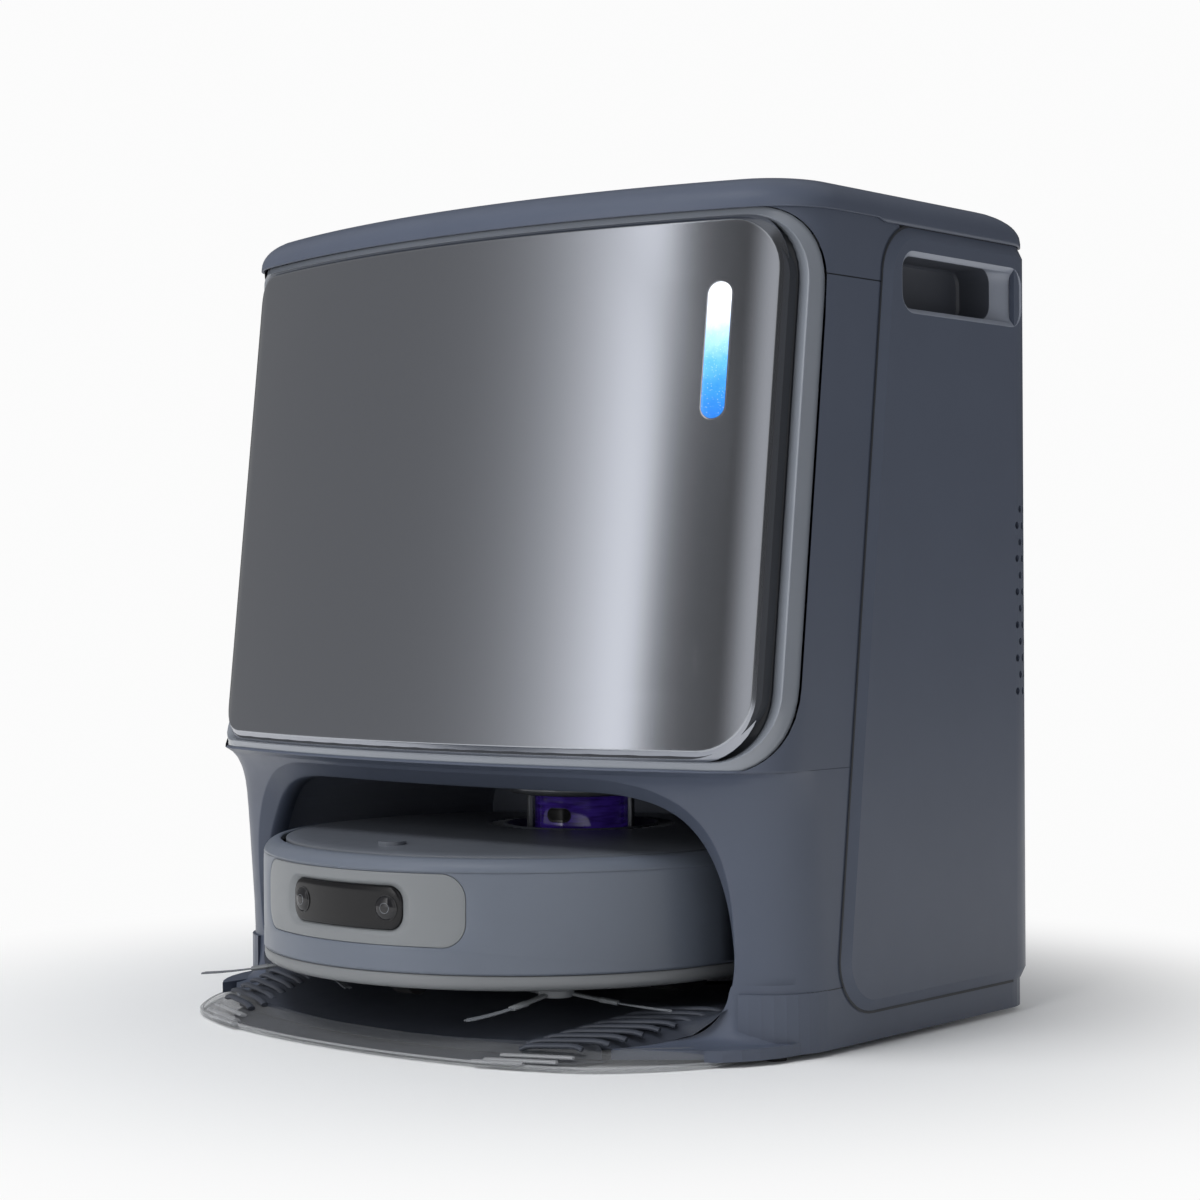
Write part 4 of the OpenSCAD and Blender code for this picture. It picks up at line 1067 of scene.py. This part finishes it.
us = lin(BUMPER_U + 3.0, 2 * pi * ROBOT_R - BUMPER_U - 3.0, 190)
rows = [[skin(u, z) for u in us] for z in (WALL_LOW, 74, WALL_Z)] + rim_rows(us)[1:]
add("rear_shell", *strip(rows), "slate_robot", "robot", "slate_robot", ["robot_rear_shell"], sharp=40,
    solid=1.2)
ring_profile = [(159.2, 46.3), (160.3, 46.0), (160.6, 45.6), (160.6, 41.5), (160.2, 40.0), (158.9, 38.6),
    (156.8, 37.7), (153.5, 37.4)]
add("chassis_ring", *lathe(ring_profile, 0, ROBOT_Y, 220), "ring_grey", "robot", "dark_plastic",
    recalc=True, sharp=50)


def cover_z(r):
    """Height of the shallow dome of the top cover at radius r from the robot's axis."""
    return 109.9 + 3.3 * cos(min(1.0, r / 152.0) * pi / 2) ** 0.6


COVER_R = 147.7
cover_edge = ((COVER_R, 101.0), (COVER_R, 109.0), (COVER_R - 0.4, 109.7), (COVER_R - 1.2, 110.1))
rows = [[ring_point(a * ROBOT_R, r, z) for a in circle(200)] for r, z in cover_edge]
DISH_R, PIT_R = 58.0, 45.6
for t in lin(0, 1, 16)[1:]:
    row = []
    for a in circle(200):
        edge_point = Vector(ring_point(a * ROBOT_R, COVER_R - 1.2, 0))
        p = edge_point.lerp(Vector((DISH_R * sin(a), TURRET_Y - DISH_R * cos(a), 0)), t)
        row.append((p.x, p.y, cover_z(hypot(p.x, p.y - ROBOT_Y))))
    rows.append(row)


def turret_ring(r, z):
    return [(r * sin(a), TURRET_Y - r * cos(a), z) for a in circle(200)]


for r, z in ((57.4, 112.2), (57.0, 111.6), (49.0, 111.7), (48.2, 112.6), (47.4, 113.0), (46.2, 113.0),
    (PIT_R, 112.6), (45.4, 108.0), (44.0, 106.4), (30.0, 106.4)):
    rows.append(turret_ring(r, z))
add("top_cover", *strip(rows, True), "cover_dark", "robot", "dark_plastic", ["robot_top_cover"], sharp=40)
vanes = []
for k in range(40):
    a = radians(9 * k)
    path = [(r * sin(a), TURRET_Y - r * cos(a), 112.0) for r in (48.6, 56.8)]
    vanes.append(bar(path, 0.55, 0.5))
add("turret_vanes", *join(vanes), "silver_cap", "robot", "dark_plastic", recalc=True)

# Spinning laser head: a violet band with a rounded port
band = [(28.2, 108.0), (29.0, 108.4), (29.0, 129.6), (28.6, 130.3), (20, 130.6)]
add("laser_head", *capped([[(r * cos(a), TURRET_Y + r * sin(a), z) for a in circle(120)] for r, z in band]),
    "lidar_purple", "lidar", "lidar_purple", ["lidar_rotor"], sharp=30)
PORT_A = radians(-78.6)


def port_outline(i):
    return rrect(-8.1 + i, 115.0 + i, 8.1 - i, 123.2 - i, 4.0 - i, 8, 6, 1)


def head_point(t, z, r):
    return r * cos(PORT_A + t / 29.0), TURRET_Y + r * sin(PORT_A + t / 29.0), z


rows = [[head_point(t, z, r) for t, z in port_outline(i)]
        for i, r in ((-0.5, 28.95), (-0.4, 29.15), (-0.05, 29.15), (0.0, 28.9))]
add("laser_port_rim", *strip(rows, True), "purple_dark", "lidar", "lidar_purple", sharp=40)
rows = [[head_point(t, z, r) for t, z in port_outline(i)]
        for i, r in ((-0.05, 29.12), (0.3, 29.06), (1.5, 29.05), (3.2, 29.05))]
add("laser_port", *capped(rows), "black_gloss", "lidar", "lidar_purple", sharp=40)

cap_profile = [(28, 131.4), (40.0, 131.4), (43.2, 131.9), (44.6, 133.2), (45.0, 135.0), (44.6, 136.6),
    (43.0, 137.4), (30, 137.5)]
cap = capped([turret_ring(r, z) for r, z in cap_profile])
posts = []
for az in (-124, 18, 78, 148):
    a = radians(az)
    c = (33.0 * cos(a), TURRET_Y + 33.0 * sin(a))
    posts.append(box(c[0] - 1.4, c[1] - 2.6, 106, c[0] + 1.4, c[1] + 2.6, 131.6, az))
add("turret_cap", *join([cap] + posts), "silver_cap", "robot", "silver_cap", ["lidar_cap"], recalc=True,
    sharp=35, bevel=0.5)

# ---- side brushes

rng = random.Random(7)
BRUSH_X, BRUSH_Y = 100, -118


def side_brush(s, turn):
    """Hub with three arms that droop towards the floor, each ending in a flat bundle of bristles."""
    hub = [(0.05, 31.0), (8.6, 31.0), (9.8, 31.6), (10, 32.6), (10, 35.2), (9.2, 36.1), (3.9, 36.1),
        (3.9, 45.0)]
    arms, hair = [lathe(hub, s * BRUSH_X, BRUSH_Y, 40)], []
    for i in range(3):
        a = radians(120 * i + turn)
        d, n = Vector((cos(a), sin(a), 0)), Vector((-sin(a), cos(a), 0))

        def at(r, off=0.0, drop=0.0):
            return Vector((s * BRUSH_X, BRUSH_Y,
                34.9 - 0.235 * r + 0.00145 * r * r - drop)) + d * r + n * (off - 0.0016 * r * r)

        arms.append(bar([at(r) for r in (8, 13, 18, 24, 30)], 2.6, 1.2, taper=0.9))
        arms.append(bar([at(r) for r in (25, 28, 32, 35)], 3.2, 1.5, taper=0.9))
        for k in range(26):
            off, reach, drop = rng.uniform(-1, 1), rng.uniform(63, 66), rng.uniform(0.0, 0.5)
            hair.append(bar([at(r, off * (1.7 + 0.03 * (r - 30)), drop * (r - 28) / 36)
                for r in lin(28, reach, 8)], 0.3, 0.3))
    return arms, hair


for s, turn, side in ((-1, -17, "left"), (1, -89, "right")):
    arms, hair = side_brush(s, turn)
    add("brush_arms_" + side, *join(arms), "fan_grey", "brush_" + side, "bristle_grey",
        ["side_brush_" + side], recalc=True)
    add("brush_hair_" + side, *join(hair), "bristle_grey", "brush_" + side, "bristle_grey", recalc=True)

# ---- camera, floor, light


def look(position, yaw, pitch, roll, lens):
    data = bpy.data.cameras.new("camera")
    data.lens, data.sensor_width = lens, 36
    cam = bpy.data.objects.new("camera", data)
    bpy.context.scene.collection.objects.link(cam)
    fwd = Vector((-sin(yaw) * cos(pitch), cos(yaw) * cos(pitch), sin(pitch)))
    right = Vector((cos(yaw), sin(yaw), 0))
    up = right.cross(fwd)
    right, up = right * cos(roll) + up * sin(roll), up * cos(roll) - right * sin(roll)
    cam.matrix_world = Matrix((
        (right.x, up.x, -fwd.x, position[0]), (right.y, up.y, -fwd.y, position[1]),
        (right.z, up.z, -fwd.z, position[2]), (0, 0, 0, 1)))
    bpy.context.scene.camera = cam


CAMERA_AT = (1.0536, -1.1844, 0.2542)
YAW, PITCH, ROLL, LENS_MM = radians(40.785), radians(-0.141), -0.005637, 77.4162
look(CAMERA_AT, YAW, PITCH, ROLL, LENS_MM)


LAMP_AIM = Vector((0, 0, 0.25))


def area(name, azimuth, height, dist, w, h, power):
    """Soft diffuse lamp at an azimuth in degrees from the front; gloss does not see it."""
    data = bpy.data.lights.new(name, "AREA")
    data.shape, data.size, data.size_y, data.energy = "RECTANGLE", w, h, power
    o = bpy.data.objects.new(name, data)
    bpy.context.scene.collection.objects.link(o)
    a = radians(azimuth)
    o.location = (dist * sin(a), -dist * cos(a), height)
    o.rotation_euler = (LAMP_AIM - o.location).to_track_quat("-Z", "Y").to_euler()
    o.visible_camera = o.visible_glossy = False


# name, azimuth, height, distance, width, length, power
for lamp in (
        ("key_light", -10, 1.0, 2.4, 1.0, 1.6, 21),
        ("left_fill", -80, 1.0, 2.6, 1.6, 2.0, 1.4),
        ("top_light", -10, 2.7, 1.3, 1.8, 0.9, 46),
        ("bay_fill", 4, 0.12, 1.5, 0.7, 0.16, 1.6),
        ("right_fill", 70, 1.0, 3.0, 1.2, 1.6, 2.5),
        ("rear_light", 180, 1.8, 2.6, 1.6, 1.2, 5)):
    area(*lamp)

world = bpy.data.worlds.new("studio")
bpy.context.scene.world = world
world.use_nodes = True
world.node_tree.nodes["Background"].inputs["Color"].default_value = (0.95, 0.97, 1.0, 1)
world.node_tree.nodes["Background"].inputs["Strength"].default_value = 0.32


def stage_mesh(name, verts, faces, material):
    me = bpy.data.meshes.new(name)
    me.from_pydata(verts, [], faces)
    me.materials.append(material)
    o = bpy.data.objects.new(name, me)
    bpy.context.scene.collection.objects.link(o)
    return o


def emitter(name, color, strength):
    m = bpy.data.materials.new(name)
    m.use_nodes = True
    nt = m.node_tree
    nt.nodes.clear()
    out = nt.nodes.new("ShaderNodeOutputMaterial")
    e = nt.nodes.new("ShaderNodeEmission")
    e.inputs["Color"].default_value = (*color, 1)
    e.inputs["Strength"].default_value = strength
    nt.links.new(e.outputs["Emission"], out.inputs["Surface"])
    return m


def floor_material():
    """Pale floor that fades into the backdrop's white away from the object."""
    m, nt, b = nodes_of("floor_pale")
    b.inputs["Base Color"].default_value = (0.86, 0.87, 0.88, 1)
    b.inputs["Roughness"].default_value = 0.6
    b.inputs["Specular IOR Level"].default_value = 0.2
    tc = nt.nodes.new("ShaderNodeTexCoord")
    ln = nt.nodes.new("ShaderNodeVectorMath")
    ln.operation = "LENGTH"
    nt.links.new(tc.outputs["Object"], ln.inputs[0])
    r = nt.nodes.new("ShaderNodeMapRange")
    r.interpolation_type = "SMOOTHSTEP"
    r.inputs["From Min"].default_value, r.inputs["From Max"].default_value = 0.2, 0.58
    nt.links.new(ln.outputs["Value"], r.inputs["Value"])
    e = nt.nodes.new("ShaderNodeEmission")
    e.inputs["Color"].default_value = (1, 1, 1, 1)
    e.inputs["Strength"].default_value = 0.97
    mix = nt.nodes.new("ShaderNodeMixShader")
    nt.links.new(r.outputs["Result"], mix.inputs["Fac"])
    nt.links.new(b.outputs["BSDF"], mix.inputs[1])
    nt.links.new(e.outputs["Emission"], mix.inputs[2])
    nt.links.new(mix.outputs["Shader"], nt.nodes["Material Output"].inputs["Surface"])
    return m


R_FLOOR = 9.0
ring = [(R_FLOOR * cos(a), R_FLOOR * sin(a), -0.0002) for a in circle(64)]
stage_mesh("floor", ring, [tuple(range(64))], floor_material())
rows = [[(R_FLOOR * cos(e) * cos(a), R_FLOOR * cos(e) * sin(a), R_FLOOR * sin(e)) for a in circle(48)]
        for e in lin(-0.1, 1.5, 12)]
dome = stage_mesh("backdrop", *strip(rows, True), emitter("backdrop_white", (1, 1, 1), 0.97))
for ray in ("visible_diffuse", "visible_glossy", "visible_transmission", "visible_shadow"):
    setattr(dome, ray, False)

# Graded softbox that only gloss sees: it brightens towards one hard edge, and a soft card fills
# the other side
CARD_R, CARD_LOW, CARD_HIGH = 2.2, -0.6, 2.4
GLOW_START, GLOW_EDGE, GLOW_POWER = -70, -8, 6
GLOW_BASE, GLOW_PEAK = 0.26, 2.6
SOFT_MIDDLE, SOFT_SPREAD, SOFT_BASE, SOFT_PEAK = 50, 26, 0.08, 0.7


def glow(azimuth):
    """Radiance of the softbox at an azimuth in degrees, measured from the front."""
    if azimuth > GLOW_EDGE:
        return SOFT_BASE + SOFT_PEAK * exp(-((azimuth - SOFT_MIDDLE) / SOFT_SPREAD) ** 2)
    t = max(0.0, (azimuth - GLOW_START) / (GLOW_EDGE - GLOW_START))
    return GLOW_BASE + (GLOW_PEAK - GLOW_BASE) * t ** GLOW_POWER


def graded_emitter():
    m = emitter("card_light", (1, 1, 1), 1)
    nt = m.node_tree
    shade = nt.nodes.new("ShaderNodeAttribute")
    shade.attribute_name = "shade"
    nt.links.new(shade.outputs["Fac"], nt.nodes["Emission"].inputs["Strength"])
    return m


turns = lin(-110, GLOW_EDGE, 60) + lin(GLOW_EDGE + 1, 249, 90)
verts = [(CARD_R * sin(radians(a)), -CARD_R * cos(radians(a)), z) for z in (CARD_LOW, CARD_HIGH)
    for a in turns]
n = len(turns)
card = stage_mesh("reflector", verts, [(i, i + 1, n + i + 1, n + i)
    for i in range(n - 1)], graded_emitter())
shade = card.data.attributes.new("shade", "FLOAT", "POINT")
for i in range(2 * n):
    shade.data[i].value = glow(turns[i % n])
for ray in ("visible_camera", "visible_diffuse", "visible_transmission", "visible_shadow"):
    setattr(card, ray, False)

bpy.context.scene.view_settings.view_transform = "Standard"
